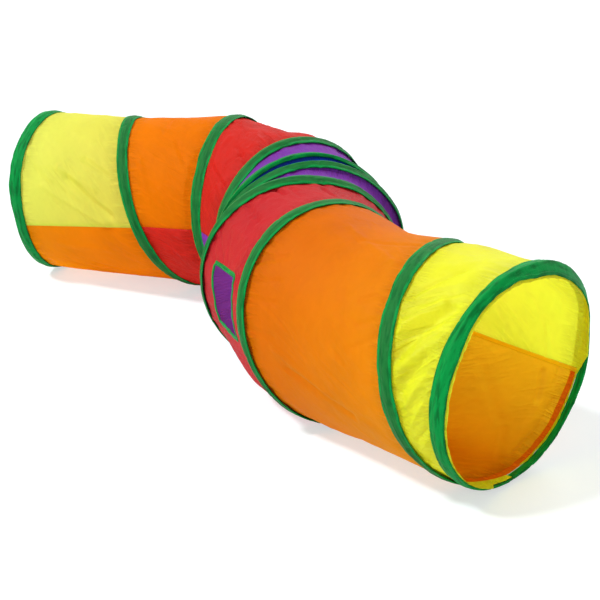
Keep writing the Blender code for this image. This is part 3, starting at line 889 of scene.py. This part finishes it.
def mouth_pull(u, edge):
    """How strongly the cloth is pulled in at a place and a distance from the near hoop."""
    beside = np.clip(edge / PULL_START, 0, 1) * np.exp(-np.maximum(edge - PULL_START, 0) / PULL_EASE)
    return beside * np.exp(-(((u - PULL_PLACE) / PULL_TURNS) ** 2))


def room_to_rise(u, t, points, outward, width):
    """How far the cloth may stand out: hardly under the tape, and more with each step from it."""
    w = t * width
    edge, first = np.minimum(w, width - w), w < width / 2
    covered = np.where(first, tape_after(u), tape_before(u + 1))
    place, reach = skewed_place(u, t), np.minimum(edge, covered)
    below = np.full_like(place, -CLOTH_BELOW_TAPE)
    after, before = coil_point(place, below, reach), coil_point(place + 1, below, -reach)
    rise = ((points - np.where(first[..., None], after, before)) * outward).sum(axis=-1)
    return TAPE_CATCH - np.clip(rise, 0, RISE_MOST) + 0.5 * np.maximum(edge - covered, 0)


def cloth_point(number, u, t, out=0.0):
    """Points of a strip, with its draw-in and folds, and where they lie on the cloth."""
    points, outward, width = cloth_base(u, t)
    s, w = u * TURN_LENGTH, t * width
    edge = np.minimum(w, width - w)
    free = np.clip(edge / EDGE_EASE, 0, 1)
    arch = np.sin(math.pi * t) ** 2
    drop = np.minimum(CLOTH_WIDTH * drop_at(number, u), width / 2 + INFOLD_ROOM * (number in INFOLDS))
    height = fold_height(number, s, w, width) * free - drop * arch + out
    height = height - MOUTH_PULL * mouth_pull(u, width - w)
    dip = np.minimum(w, DIP_REACH) * np.exp(-np.maximum(w - DIP_REACH, 0) / DIP_EASE)
    height = height - lean_in(u) * dip + seen_folds(number, u, t) * free
    if number in BULGES:
        place, reach, depth = BULGES[number]
        height = height + depth * np.exp(-(((u - place) / reach) ** 2)) * arch
    height = np.minimum(height, out + room_to_rise(u, t, points, outward, width))
    return points + height[..., None] * outward, np.stack([s, w, edge], axis=-1)


drawn_in = [float(1000 * CLOTH_WIDTH * own_drop(number, number)) for number in range(1, TURNS)]
print("drawn in at the tops, mm:", np.round(drawn_in, 1))

# %% [markdown]
# Thin polyester taffeta has a fine plain weave, a soft shine, and lets some light through: on the
# inside of the near mouth the far wall glows. So the finish mixes a satin surface with some
# translucence. Its threads are two sets of fine waves along the cloth's own directions.

# %% The cloth's finish
THREAD_PITCH = 0.0007
SEAM_ALLOWANCE = 0.0055
GLOW = 0.42  # the share of light that passes through
LIME = linear(232, 242, 30)
Cloth = namedtuple("Cloth", "colour lit fold_angle busy sheen")
CLOTHS = {
    "yellow_far": Cloth(linear(232, 242, 98), linear(246, 252, 108), 40.0, 0.8, 0.12),
    "orange_far": Cloth(linear(244, 134, 0), linear(255, 164, 4), 60.0, 0.6, 0.06),
    "red_far": Cloth(linear(224, 44, 32), linear(238, 58, 36), 70.0, 1.4, 0.16),
    "purple": Cloth(linear(142, 68, 194), linear(154, 78, 206), 80.0, 0.8, 0.12),
    "blue": Cloth(linear(6, 56, 160), linear(12, 70, 184), 80.0, 0.8, 0.12),
    "red_near": Cloth(linear(212, 40, 46), linear(228, 54, 54), 55.0, 1.4, 0.20),
    "orange_near": Cloth(linear(232, 106, 0), linear(255, 218, 28), 60.0, 0.5, 0.10),
    "yellow_near": Cloth(linear(238, 246, 20), linear(250, 255, 66), 125.0, 1.2, 0.45),
}


def fold_lines(finish, s, w, angle, size):
    """Long narrow creases that run one way over the cloth, from 0 between them to 1 on them."""
    way = math.radians(angle)
    along = s * math.cos(way) + w * math.sin(way)
    across = w * math.cos(way) - s * math.sin(way)
    place = finish.node("ShaderNodeCombineXYZ", {}, {0: across / size, 1: along / (7 * size), 2: 0.0})
    sockets = {"Vector": place, "Scale": 1.0, "Detail": 3.0, "Distortion": 0.6}
    cloud = finish.node("ShaderNodeTexNoise", {}, sockets)
    return 1 - ((cloud - 0.5).size() * 5).step(0.0, 1.0)


def make_cloth(name, cloth):
    """Satin taffeta in one colour, creased as it was when it lay folded, with painted shade in its
    creases and a painted glow on its turned-under allowances.
    """
    finish = Finish(f"taffeta_{name}")
    place = finish.attribute("on_cloth")
    s, w, edge = place.parts()
    warp = (s * (2 * math.pi / THREAD_PITCH)).wave()
    weft = (w * (2 * math.pi / THREAD_PITCH)).wave()
    patches = finish.noise(place, 22.0)
    busy = finish.noise(place + (3.0, 1.0, 0.0), 11.0).step(0.38, 0.66) * cloth.busy
    folds = fold_lines(finish, s, w, cloth.fold_angle, 0.012) * busy
    gathers = fold_lines(finish, s, w, 90.0, 0.006) * (1 - edge.step(0.008, 0.034))
    crinkle = finish.noise(place, 110.0, 4.0)
    height = crinkle * (0.5 + busy * 0.5) - folds * 0.8 - gathers * 0.7 + (warp * weft) * 0.03
    normal = finish.bump(height, 0.0012)
    # Folds, gathers and crinkles are painted darker: painted shade in the creases, besides their bumps.
    # The patches are the cloth's own uneven tone.
    shade = 0.98 + patches * 0.1 - folds * 0.09 - gathers * 0.12 - crinkle * 0.06
    turned_back = edge.step(0.5, 0.6)  # where it is turned under, the edge is kept as 1 and more
    stitches = 1 - (edge - 1 - (SEAM_ALLOWANCE - 0.0007)).size().step(0.0002, 0.0005)
    # The turned-under allowance is painted 4% lighter, a painted glow. Its stitches are darker thread.
    shade = shade * (1 + turned_back * 0.04) * (1 - stitches * 0.25)
    under_tape = 1 - edge.step(0.0080, 0.0086)
    backed = LIME if name == "yellow_near" else cloth.colour
    # The turned-under allowance is painted in the colour of light passing through the cloth. This is a
    # painted glow on a double layer that is seen from the front.
    colour_with_painted_flap_glow = finish.mix(turned_back, cloth.colour, cloth.lit)
    colour = finish.tint(finish.mix(under_tape, colour_with_painted_flap_glow, backed), shade)
    surface = {
        "Base Color": colour,
        "Roughness": 0.44 + patches * 0.14,
        "Normal": normal,
        "Specular IOR Level": cloth.sheen,
    }
    satin = finish.node("ShaderNodeBsdfPrincipled", {}, surface)
    lit = finish.tint(finish.mix(under_tape, cloth.lit, backed), shade)
    glow = finish.node("ShaderNodeBsdfTranslucent", {}, {"Color": lit, "Normal": normal})
    share = (1 - under_tape) * GLOW
    return finish.show(finish.node("ShaderNodeMixShader", {}, {0: share, 1: satin, 2: glow}))


cloth_finishes = {name: make_cloth(name, cloth) for name, cloth in CLOTHS.items()}
TONES = ["yellow_far", "orange_far", "red_far", "purple", "blue"]
TONES += ["purple", "red_near", "orange_near", "yellow_near"]
print(f"{len(cloth_finishes)} cloths")

# %% [markdown]
# The seventh strip has the peephole, a bound opening cut askew like the strip itself. The grid's
# lines are moved so that four of them run along its sides, and the cells inside are left out.

# %% The strips
WINDOW_STRIP = 7
WINDOW_TURN = 0.2605
WINDOW_SHARE = 0.53
WINDOW_WIDTH = 0.086
WINDOW_HEIGHT = 0.072
WINDOW_MOST = 0.42  # of the strip's width, on each side of the opening's middle
LEAST_SHARE = 0.01  # of a strip's points: a slab with fewer is left with its neighbour
# narrower pieces, and those that fill less of their flat size, aren't declared
LEAST_SIDE = 0.01  # a piece's narrower side is compared with this, and its share of its flat size with the next; nothing is done with the result
LEAST_FILL = 0.3

# Beside a seam the cloth is turned down and back under: distances from the fold, and levels.
SEAM_ROWS = (0.0006, 0.0012, 0.0019)
TURNED_BACK = (0.0003, 0.0012, 0.0027, 0.0042, SEAM_ALLOWANCE)
TURNED_LEVELS = (-0.0004, -0.0009, -0.0011, -0.0011, -0.0009)


def window_sides(u):
    """The sides of the peephole as shares of the strip's width."""
    width = cloth_base(u, np.full_like(u, 0.5))[2]
    half = np.minimum(WINDOW_WIDTH / 2 / width, WINDOW_MOST)
    return WINDOW_SHARE - half, WINDOW_SHARE + half


def strip_rows(number):
    """Places along a strip, close together at its seams and turned back under at its last one."""
    start, end = strip_span(number)
    u = np.linspace(start, end, int((end - start) * TURN_LENGTH / CLOTH_STEP))
    by_seam = np.array(SEAM_ROWS) / TURN_LENGTH
    u = np.sort(np.concatenate([u, start + by_seam, end - by_seam]))
    if number == WINDOW_STRIP:
        middle = WINDOW_STRIP - 1 + WINDOW_TURN
        for side in (-1, 1):
            place = middle + side * WINDOW_HEIGHT / 2 / TURN_LENGTH
            u[np.argmin(np.abs(u - place))] = place
    level = np.zeros(len(u))
    if number < len(STRIPS):
        u = np.concatenate([u, end - np.array(TURNED_BACK) / TURN_LENGTH])
        level = np.concatenate([level, TURNED_LEVELS])
    return u, level


def strip_grid(number):
    """The grid of places on a strip, their levels, and which cells the peephole takes."""
    u, level = strip_rows(number)
    across = int(CLOTH_WIDTH * STRIPS[number - 1].pulled / CLOTH_STEP) + 16
    grid_u = np.repeat(u[:, None], across + 1, axis=1)
    levels = np.repeat(level[:, None], across + 1, axis=1)
    grid_t = np.repeat(np.linspace(0, 1, across + 1)[None], len(u), axis=0)
    if number != WINDOW_STRIP:
        return grid_u, grid_t, levels, None
    quarter = across // 4
    sides = (0, quarter, across - quarter, across)
    for row, (left, right) in enumerate(zip(*window_sides(u))):
        grid_t[row] = np.interp(np.arange(across + 1), sides, (0, left, right, 1))
    middle = WINDOW_STRIP - 1 + WINDOW_TURN
    inside = np.abs((u[1:] + u[:-1]) / 2 - middle) < WINDOW_HEIGHT / 2 / TURN_LENGTH
    holes = np.zeros((len(u) - 1, across), bool)
    holes[inside, quarter : across - quarter] = True
    return grid_u, grid_t, levels, holes.reshape(-1)


def make_strip(number):
    """One strip of cloth, cut at the slabs."""
    strip = STRIPS[number - 1]
    grid_u, grid_t, levels, holes = strip_grid(number)
    points, stored = cloth_point(number, grid_u, grid_t, levels)
    back = TURN_LENGTH * (grid_u.max() - grid_u)
    stored[..., 2] = np.where(levels < 0, 1 + back, stored[..., 2])
    name = f"strip_{number}_{strip.colour}"
    mesh = grid_mesh(name, points, stored, holes=holes)
    material = cloth_finishes[TONES[number - 1]]
    pieces = place_in_slabs(name, mesh, material, [name], LEAST_SHARE)
    for piece in pieces:
        declare_sheet(piece)
    return pieces


def declare_sheet(piece):
    """Measure the flat size of a piece of cloth. Nothing is done with the result."""
    on_cloth = read(piece.data, "on_cloth")
    length, width = np.ptp(on_cloth[:, 0]), np.ptp(on_cloth[:, 1])
    area = sum(face.area for face in piece.data.polygons)
    min(length, width) > LEAST_SIDE and area > LEAST_FILL * length * width


for number in range(1, TURNS):
    made = make_strip(number)
    print(made[0].name, "and its neighbours:", sum(len(p.data.polygons) for p in made), "faces")

# %% [markdown]
# The tape is a ribbon folded over the wire. The wire pushes it up into a ridge, from which it runs
# down tight to its two stitched hems. We sweep that outline along the wire, a little uneven, with
# small pleats across it at uneven distances.

# %% The tape's shape
TAPE_STEP = 0.0020
TAPE_ARCH = 16
HEM_WIDTH = 0.0030
HEM_RISE = 0.0004
STITCH_INSET = 0.0016
TAPE_EDGE = 0.0006
RIDGE_ROUND = 0.0011
FLANK_CURVE = 1.2
STITCH_DEPTH = 0.00025
STITCH_HALF = 0.0005
TAPE_UNDERSIDE = -0.0003  # the cloth lies just below it
RIM_UNDERSIDE = -0.0011  # at the free side of a mouth, where there is no cloth
PLEAT_EVERY = 0.015
PLEAT_DEPTH = 0.0011
PLEAT_HALF = 0.0016
PLEAT_SPAN = 0.014  # further along the tape than this from its middle a pleat is nothing


def tape_height(x, half):
    """The height of the tape over the cloth at a distance from its middle."""
    far = np.sqrt(half * half + RIDGE_ROUND**2) - RIDGE_ROUND
    drop = (np.sqrt(x * x + RIDGE_ROUND**2) - RIDGE_ROUND) / far
    height = TAPE_EDGE + (RIDGE_HEIGHT - TAPE_EDGE) * np.clip(1 - drop, 0, 1) ** FLANK_CURVE
    inset = half - np.abs(x)
    hem = np.clip(1.5 - np.abs(inset - HEM_WIDTH / 2) / (HEM_WIDTH / 2), 0, 1)
    stitch = np.exp(-(((inset - STITCH_INSET) / STITCH_HALF) ** 2))
    return height + HEM_RISE * hem - STITCH_DEPTH * stitch


def pleats(s, x, half):
    """Narrow creases across one side of the tape or the other, at uneven distances."""
    chance = np.random.default_rng(77)
    depth = np.zeros(np.broadcast(s, x).shape)
    for centre in np.arange(s.min(), s.max(), PLEAT_EVERY):
        centre += chance.uniform(-0.4, 0.4) * PLEAT_EVERY
        lean, side = chance.uniform(-0.5, 0.5), chance.choice([-1, 1])
        strength = chance.uniform(0.2, 1.0) ** 2
        rows = np.abs(s[:, 0] - centre) < PLEAT_SPAN
        off = s[rows] - centre - lean * x[rows]
        reach = np.clip(side * x[rows] / half[rows] + 0.5, 0, 1)
        depth[rows] += strength * reach * np.exp(-((off / PLEAT_HALF) ** 2))
    return depth


def tape_grid():
    """The tape's outline swept along the whole wire."""
    u = np.linspace(WIRE_START, WIRE_END, int(TURNS * TURN_LENGTH / TAPE_STEP))
    s = u * TURN_LENGTH
    wander = 1 + 0.09 * ripples(s / 0.028, s * 0, 301) + 0.05 * ripples(s / 0.009, s * 0, 302)
    share = np.linspace(-1, 1, TAPE_ARCH + 1)
    share = np.sign(share) * (1 - (1 - np.abs(share)) ** 1.3)
    before, after = tape_before(u) * wander, tape_after(u) * wander
    half = np.where(share[None] < 0, before[:, None], after[:, None])
    top = share[None] * half
    out = tape_height(top, half)
    rough = 0.0005 * (creases(s[:, None] / 0.016, top / 0.012 + 3, 303) - 0.6)
    out = out + rough * np.clip((half - np.abs(top)) / 0.002, 0, 1)
    out = np.maximum(out - PLEAT_DEPTH * pleats(s[:, None], top, half), TAPE_UNDERSIDE + 0.0001)
    under = top[:, ::-1][:, 1:-1]
    place = u[:, None]
    free_side = ((place > LAST_STATION) & (under > 0)) | ((place < FIRST_STATION) & (under < 0))
    x = np.concatenate([top, under], axis=1)
    out = np.concatenate([out, np.where(free_side, RIM_UNDERSIDE, TAPE_UNDERSIDE)], axis=1)
    halves = np.concatenate([half, half[:, ::-1][:, 1:-1]], axis=1)
    places = np.repeat(place, x.shape[1], axis=1)
    stored = np.stack([places * TURN_LENGTH, x, halves], axis=-1)
    return coil_point(places, out, x), stored


print("the tape's ridge stands", round(1000 * float(tape_height(0.0, TAPE_WIDTH / 2)), 2), "mm high")

# %% [markdown]
# The tape is a woven ribbon with a fine rib and a row of stitches along each edge. Between the
# mouths its wide stretches are one layer thick in the middle, and duller there than at the hems.

# %% The tape's finish
GREEN = linear(0, 142, 62)
GREEN_DULL = linear(30, 106, 46)
# The darker green painted into the tape's creases, a painted shade.
GREEN_PAINTED_CREASE_SHADE = linear(0, 90, 36)
RIB_PITCH = 0.0008
STITCH_LENGTH = 0.0032


def make_tape_finish():
    """Woven green ribbon, duller where it is one layer thick, with painted shade along its creases."""
    finish = Finish("green_ribbon")
    place = finish.attribute("on_cloth")
    s, x, half = place.parts()
    inset = half - x.size()
    single = inset.step(HEM_WIDTH, HEM_WIDTH + 0.0012)
    wide = half.step(0.006, 0.009)
    turns = s / TURN_LENGTH
    inner = turns.step(FIRST_STATION, FIRST_STATION + 0.2)
    inner = inner * (1 - turns.step(LAST_STATION - 0.1, LAST_STATION))
    patches = finish.noise(place, 30.0)
    dull = single * wide * inner * (0.5 + patches * 0.7)
    tape_creases = finish.noise(place * (45.0, 260.0, 0.0), 1.0, 3.0)
    colour = finish.mix(dull, GREEN, GREEN_DULL)
    # Along the tape's creases the green is painted darker: painted shade.
    colour = finish.mix((1 - tape_creases.step(0.34, 0.56)) * 0.75, colour, GREEN_PAINTED_CREASE_SHADE)
    rib = (s * (2 * math.pi / RIB_PITCH)).wave()
    dash = ((s / STITCH_LENGTH).fraction() - 0.5).size().step(0.36, 0.40)
    row = (inset - STITCH_INSET).size().step(0.0003, 0.0006)
    thread = (1 - dash) * (1 - row)
    colour = finish.tint(colour, 0.9 + patches * 0.2 + thread * 0.25)
    height = rib * 0.04 + thread * 0.4 + tape_creases * 1.6 + finish.noise(place, 180.0, 3.0) * 0.6
    normal = finish.bump(height, 0.0008)
    surface = {
        "Base Color": colour,
        "Roughness": 0.42 + patches * 0.16,
        "Normal": normal,
        "Specular IOR Level": 0.08,
    }
    return finish.show(finish.node("ShaderNodeBsdfPrincipled", {}, surface))


tape_finish = make_tape_finish()


def nodes_of(first, last, name):
    """The nodes of the turns that lie between two places on the wire."""
    turns = range(round(first + 0.001) + 1, round(last - 0.001) + 2)
    return [name.format(turn) for turn in turns]


def make_tape():
    """The whole tape, cut at the slabs."""
    points, stored = tape_grid()
    mesh = grid_mesh("tape", points, stored, wraps=True)
    pieces = place_in_slabs("tape", mesh, tape_finish, [])
    for piece in pieces:
        s = read(piece.data, "on_cloth")[:, 0] / TURN_LENGTH
        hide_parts(*nodes_of(s.min(), s.max(), "tape_turn_{}"))
    return pieces


tape_pieces = make_tape()
print(f"tape in {len(tape_pieces)} parts")

# %% [markdown]
# At the near mouth the yellow strip's raw edge is turned in under the tape. From the bottom up the
# far side it is only a thin wavy line beside the wire. From there over the top and down the near
# side it covers the tape's inner face and shows a little past its rim.

# %% The selvedge at the near mouth
# At each place: where the band starts beside the wire, and how far it reaches, which is in metres
# where it is small and otherwise in widths of the tape.
SELVEDGE = (
    (8.5, -0.0012, 0.0016),
    (8.70, -0.0012, 0.0014),
    (8.74, -0.004, 1.0),
    (9.425, -0.004, 1.0),
    (9.445, -0.004, 1.25),
    (9.46, -0.001, 0.0016),
    (9.5, -0.001, 0.0016),
)
SMALL_REACH = 0.01
SELVEDGE_FIRST = 8.53
SELVEDGE_LAST = 9.499
SELVEDGE_SHOWS = 0.0012
SELVEDGE_LEVEL = -0.0014
SELVEDGE_COLUMNS = 9
BRIGHT_EDGE = 0.0022  # the rim of the band, which isn't backed by tape
BRIGHT_UNTIL = 8.71


def make_selvedge():
    """A narrow band of cloth inside the near hoop, cut at the slabs like the rest."""
    u = np.linspace(SELVEDGE_FIRST, SELVEDGE_LAST, int(TURN_LENGTH / CLOTH_STEP))
    s = u * TURN_LENGTH
    wave = 0.0006 * ripples(s / 0.010, s * 0, 501) + 0.0004 * ripples(s / 0.004, s * 0, 502)
    places, starts, reaches = np.array(SELVEDGE).T
    reach = np.interp(u, places, reaches)
    full = tape_after(u) + SELVEDGE_SHOWS
    reach = np.where(reach > SMALL_REACH, reach * full, reach) + wave
    start = np.interp(u, places, starts)[:, None]
    share = np.linspace(0, 1, SELVEDGE_COLUMNS)
    x = start + share[None] * (reach[:, None] - start)
    out = SELVEDGE_LEVEL - 0.0004 * share[None]
    out = out + 0.0003 * ripples(s[:, None] / 0.006, x / 0.004, 503)
    places = np.repeat(u[:, None], SELVEDGE_COLUMNS, axis=1)
    bright = (full[:, None] - x < BRIGHT_EDGE) | (places < BRIGHT_UNTIL)
    stored = np.stack([places * TURN_LENGTH, x, np.where(bright, 0.02, 0.0)], axis=-1)
    mesh = grid_mesh("selvedge", coil_point(places, out, x), stored)
    finish = cloth_finishes["yellow_near"]
    return place_in_slabs("selvedge", mesh, finish, ["strip_9_yellow"])


selvedge_pieces = make_selvedge()
print(f"selvedge in {len(selvedge_pieces)} parts")

# %% [markdown]
# Inside the tape runs the spring wire. It can hardly be seen, but it is there, and it folds with
# the rest, so it is a plain round tube in the same slabs. The caps on its ends are the working
# model's own, with a finish of black moulded plastic.

# %% The wire and its caps
WIRE_RADIUS = 0.0009
WIRE_SIDES = 8
WIRE_RINGS = 90  # in a turn
CAP_REACH = 0.008  # turns at each end of the wire that its cap takes


def make_steel():
    """Drawn spring wire."""
    finish = Finish("spring_steel")
    place = finish.attribute("on_cloth")
    marks = finish.noise(place * (40.0, 2000.0, 2000.0), 1.0)
    surface = {
        "Base Color": finish.tint((0.5, 0.5, 0.52, 1), 0.9 + marks * 0.2),
        "Metallic": 1.0,
        "Roughness": 0.3 + marks * 0.15,
    }
    return finish.show(finish.node("ShaderNodeBsdfPrincipled", {}, surface))


def make_wire():
    """The spring wire, cut at the slabs."""
    u = np.linspace(WIRE_START + CAP_REACH, WIRE_END - CAP_REACH, TURNS * WIRE_RINGS)
    angle = np.linspace(0, 2 * math.pi, WIRE_SIDES, endpoint=False)
    places, angles = np.meshgrid(u, angle, indexing="ij")
    points = coil_point(places, WIRE_RADIUS * np.sin(angles), WIRE_RADIUS * np.cos(angles))
    stored = np.stack([places * TURN_LENGTH, WIRE_RADIUS * angles, 0 * angles], axis=-1)
    mesh = grid_mesh("spring_wire", points, stored, wraps=True)
    return place_in_slabs("spring_wire", mesh, make_steel(), ["spring_wire"])


def make_plastic():
    """Black moulded plastic, very slightly mottled."""
    finish = Finish("black_plastic")
    where = finish.node("ShaderNodeTexCoord", {}, {}, "Object")
    mottle = finish.noise(where, 900.0)
    surface = {
        "Base Color": finish.tint((0.03, 0.03, 0.03, 1), 0.8 + mottle * 0.4),
        "Roughness": 0.4 + mottle * 0.15,
    }
    return finish.show(finish.node("ShaderNodeBsdfPrincipled", {}, surface))


wire_pieces = make_wire()
plastic = make_plastic()
for cap in ("wire_cap_far", "wire_cap_near"):
    frame["nodes"][cap].data.materials.clear()
    frame["nodes"][cap].data.materials.append(plastic)
print(f"wire in {len(wire_pieces)} parts")

# %% [markdown]
# The peephole's edge is bound with the same green tape, folded in half over the cut edge. We sweep
# a thin closed outline round a rectangle with rounded corners, drawn in metres on the cloth.

# %% The peephole's binding
BINDING_CORNER = 0.003
BINDING_HALF = 0.0008
BINDING_STEP = 0.003
BINDING_OVERLAP = 0.0005  # how far the binding's fold lies inside the cloth's cut edge
CORNER_STEPS = 6

# The binding's cross-section: distances outward from its fold, and levels in half thicknesses.
BINDING_OUTLINE = (
    (0.0, 0.0), (0.001, 0.9), (0.003, 1.0), (0.005, 1.0), (0.006, 0.6),
    (0.006, -0.6), (0.005, -1.0), (0.003, -1.0), (0.001, -0.9),
)  # fmt: skip


def window_loop():
    """Points round the opening in metres from its middle, and the way outward from it."""
    half_a, half_b = WINDOW_WIDTH / 2, WINDOW_HEIGHT / 2
    loop = []
    for cx, cy, turn in ((1, 1, 0), (-1, 1, 90), (-1, -1, 180), (1, -1, 270)):
        centre = np.array([cx * (half_a - BINDING_CORNER), cy * (half_b - BINDING_CORNER)])
        for step in range(CORNER_STEPS + 1):
            angle = math.radians(turn + 90 / CORNER_STEPS * step)
            way = np.array([math.cos(angle), math.sin(angle)])
            loop.append((centre + BINDING_CORNER * way, way))
    points, ways = (np.array(part) for part in zip(*loop))
    fine_points, fine_ways = [], []
    for i in range(len(points)):
        j = (i + 1) % len(points)
        steps = max(int(np.linalg.norm(points[j] - points[i]) / BINDING_STEP), 1)
        for step in range(steps):
            share = step / steps
            fine_points.append((1 - share) * points[i] + share * points[j])
            fine_ways.append((1 - share) * ways[i] + share * ways[j])
    return np.array(fine_points), np.array(fine_ways)


def window_place(a, b):
    """The strip's own coordinates for distances from the peephole's middle."""
    u = WINDOW_STRIP - 1 + WINDOW_TURN + b / TURN_LENGTH
    width = cloth_base(u, np.full_like(u, 0.5))[2]
    return u, WINDOW_SHARE + a / width


def make_binding():
    """The folded tape round the peephole."""
    loop, ways = window_loop()
    reach, level = np.array(BINDING_OUTLINE).T
    a = loop[:, 0][:, None] + ways[:, 0][:, None] * (reach[None] - BINDING_OVERLAP)
    b = loop[:, 1][:, None] + ways[:, 1][:, None] * (reach[None] - BINDING_OVERLAP)
    u, t = window_place(a, b)
    points = cloth_point(WINDOW_STRIP, u, t, level[None] * BINDING_HALF)[0]
    run = np.repeat(np.arange(len(loop))[:, None] * BINDING_STEP, len(reach), axis=1)
    half = 0 * run + reach.max() / 2
    stored = np.stack([run, reach[None] - half, half], axis=-1)
    points = np.concatenate([points, points[:1]])
    stored = np.concatenate([stored, stored[:1]])
    mesh = grid_mesh("window_binding", points, stored, wraps=True)
    return place_in_slabs("window_binding", mesh, tape_finish, ["window_binding"])


binding_pieces = make_binding()
print(f"binding in {len(binding_pieces)} parts")

# %% [markdown]
# The stage is a plain white floor under an even pale sky. A sun from the upper left models the
# folds, a broad weak one from beside the camera fills their shadows, and one from behind shines
# through the cloth, so that the inside of the mouth glows. The camera sees floor and sky as white,
# and on the floor the tunnel's shadow.

# %% Floor, sky and suns
FLOOR_SIZE = 60
FLOOR_LEVEL = -0.0002
FLOOR_PAINT = (0.82, 0.91, 0.94, 1)  # a little cool, against the warm light from the cloth
FLOOR_GLOW = 0.45  # the share of its own light in what the camera sees of the floor
FLOOR_LIGHT = 1.3
SKY_LIGHT = 0.25

# Each sun's strength, its width across in degrees, and its tilt and turn in degrees.
Sun = namedtuple("Sun", "light width tilt")
SUNS = (
    Sun(2.75, 8.0, (38.0, 0.0, -56.0)),
    Sun(0.55, 40.0, (58.0, 0.0, 22.0)),
    Sun(1.4, 30.0, (52.0, 0.0, 172.0)),
)


def make_floor():
    """A white floor that shows the camera a faint shadow."""
    finish = Finish("white_floor")
    path = finish.node("ShaderNodeLightPath", {}, {}, "Is Camera Ray")
    paint = finish.node("ShaderNodeBsdfDiffuse", {}, {"Color": FLOOR_PAINT})
    white = finish.node("ShaderNodeEmission", {}, {"Color": (1, 1, 1, 1), "Strength": FLOOR_LIGHT})
    share = path * FLOOR_GLOW
    return finish.show(finish.node("ShaderNodeMixShader", {}, {0: share, 1: paint, 2: white}))


def add_sun(wanted):
    """A soft sun."""
    sun = bpy.data.objects.new("sun", bpy.data.lights.new("sun", "SUN"))
    sun.data.energy = wanted.light
    sun.data.angle = math.radians(wanted.width)
    sun.rotation_euler = [math.radians(angle) for angle in wanted.tilt]
    bpy.context.scene.collection.objects.link(sun)


def make_sky():
    """A pale sky that is white to the camera, to shiny surfaces and through clear ones."""
    world = bpy.data.worlds.new("sky")
    world.use_nodes = True
    tree = world.node_tree
    tree.nodes.clear()
    path = tree.nodes.new("ShaderNodeLightPath")
    seen = path.outputs["Is Camera Ray"]
    for ray in ("Is Glossy Ray", "Is Transmission Ray"):
        largest = tree.nodes.new("ShaderNodeMath")
        largest.operation = "MAXIMUM"
        tree.links.new(seen, largest.inputs[0])
        tree.links.new(path.outputs[ray], largest.inputs[1])
        seen = largest.outputs[0]
    strength = tree.nodes.new("ShaderNodeMapRange")
    strength.inputs["To Min"].default_value = SKY_LIGHT
    strength.inputs["To Max"].default_value = 1.0
    tree.links.new(seen, strength.inputs["Value"])
    sky = tree.nodes.new("ShaderNodeBackground")
    sky.inputs["Color"].default_value = (1, 1, 1, 1)
    tree.links.new(strength.outputs[0], sky.inputs["Strength"])
    output = tree.nodes.new("ShaderNodeOutputWorld")
    tree.links.new(sky.outputs[0], output.inputs["Surface"])
    bpy.context.scene.world = world


half_floor = FLOOR_SIZE / 2
floor_mesh = bpy.data.meshes.new("floor")
signs = ((-1, -1), (1, -1), (1, 1), (-1, 1))
corners = [(x * half_floor, y * half_floor, FLOOR_LEVEL) for x, y in signs]
floor_mesh.from_pydata(corners, [], [(0, 1, 2, 3)])
floor_mesh.materials.append(make_floor())
floor = bpy.data.objects.new("floor", floor_mesh)
bpy.context.scene.collection.objects.link(floor)
make_sky()
for sun in SUNS:
    add_sun(sun)
print("stage ready")
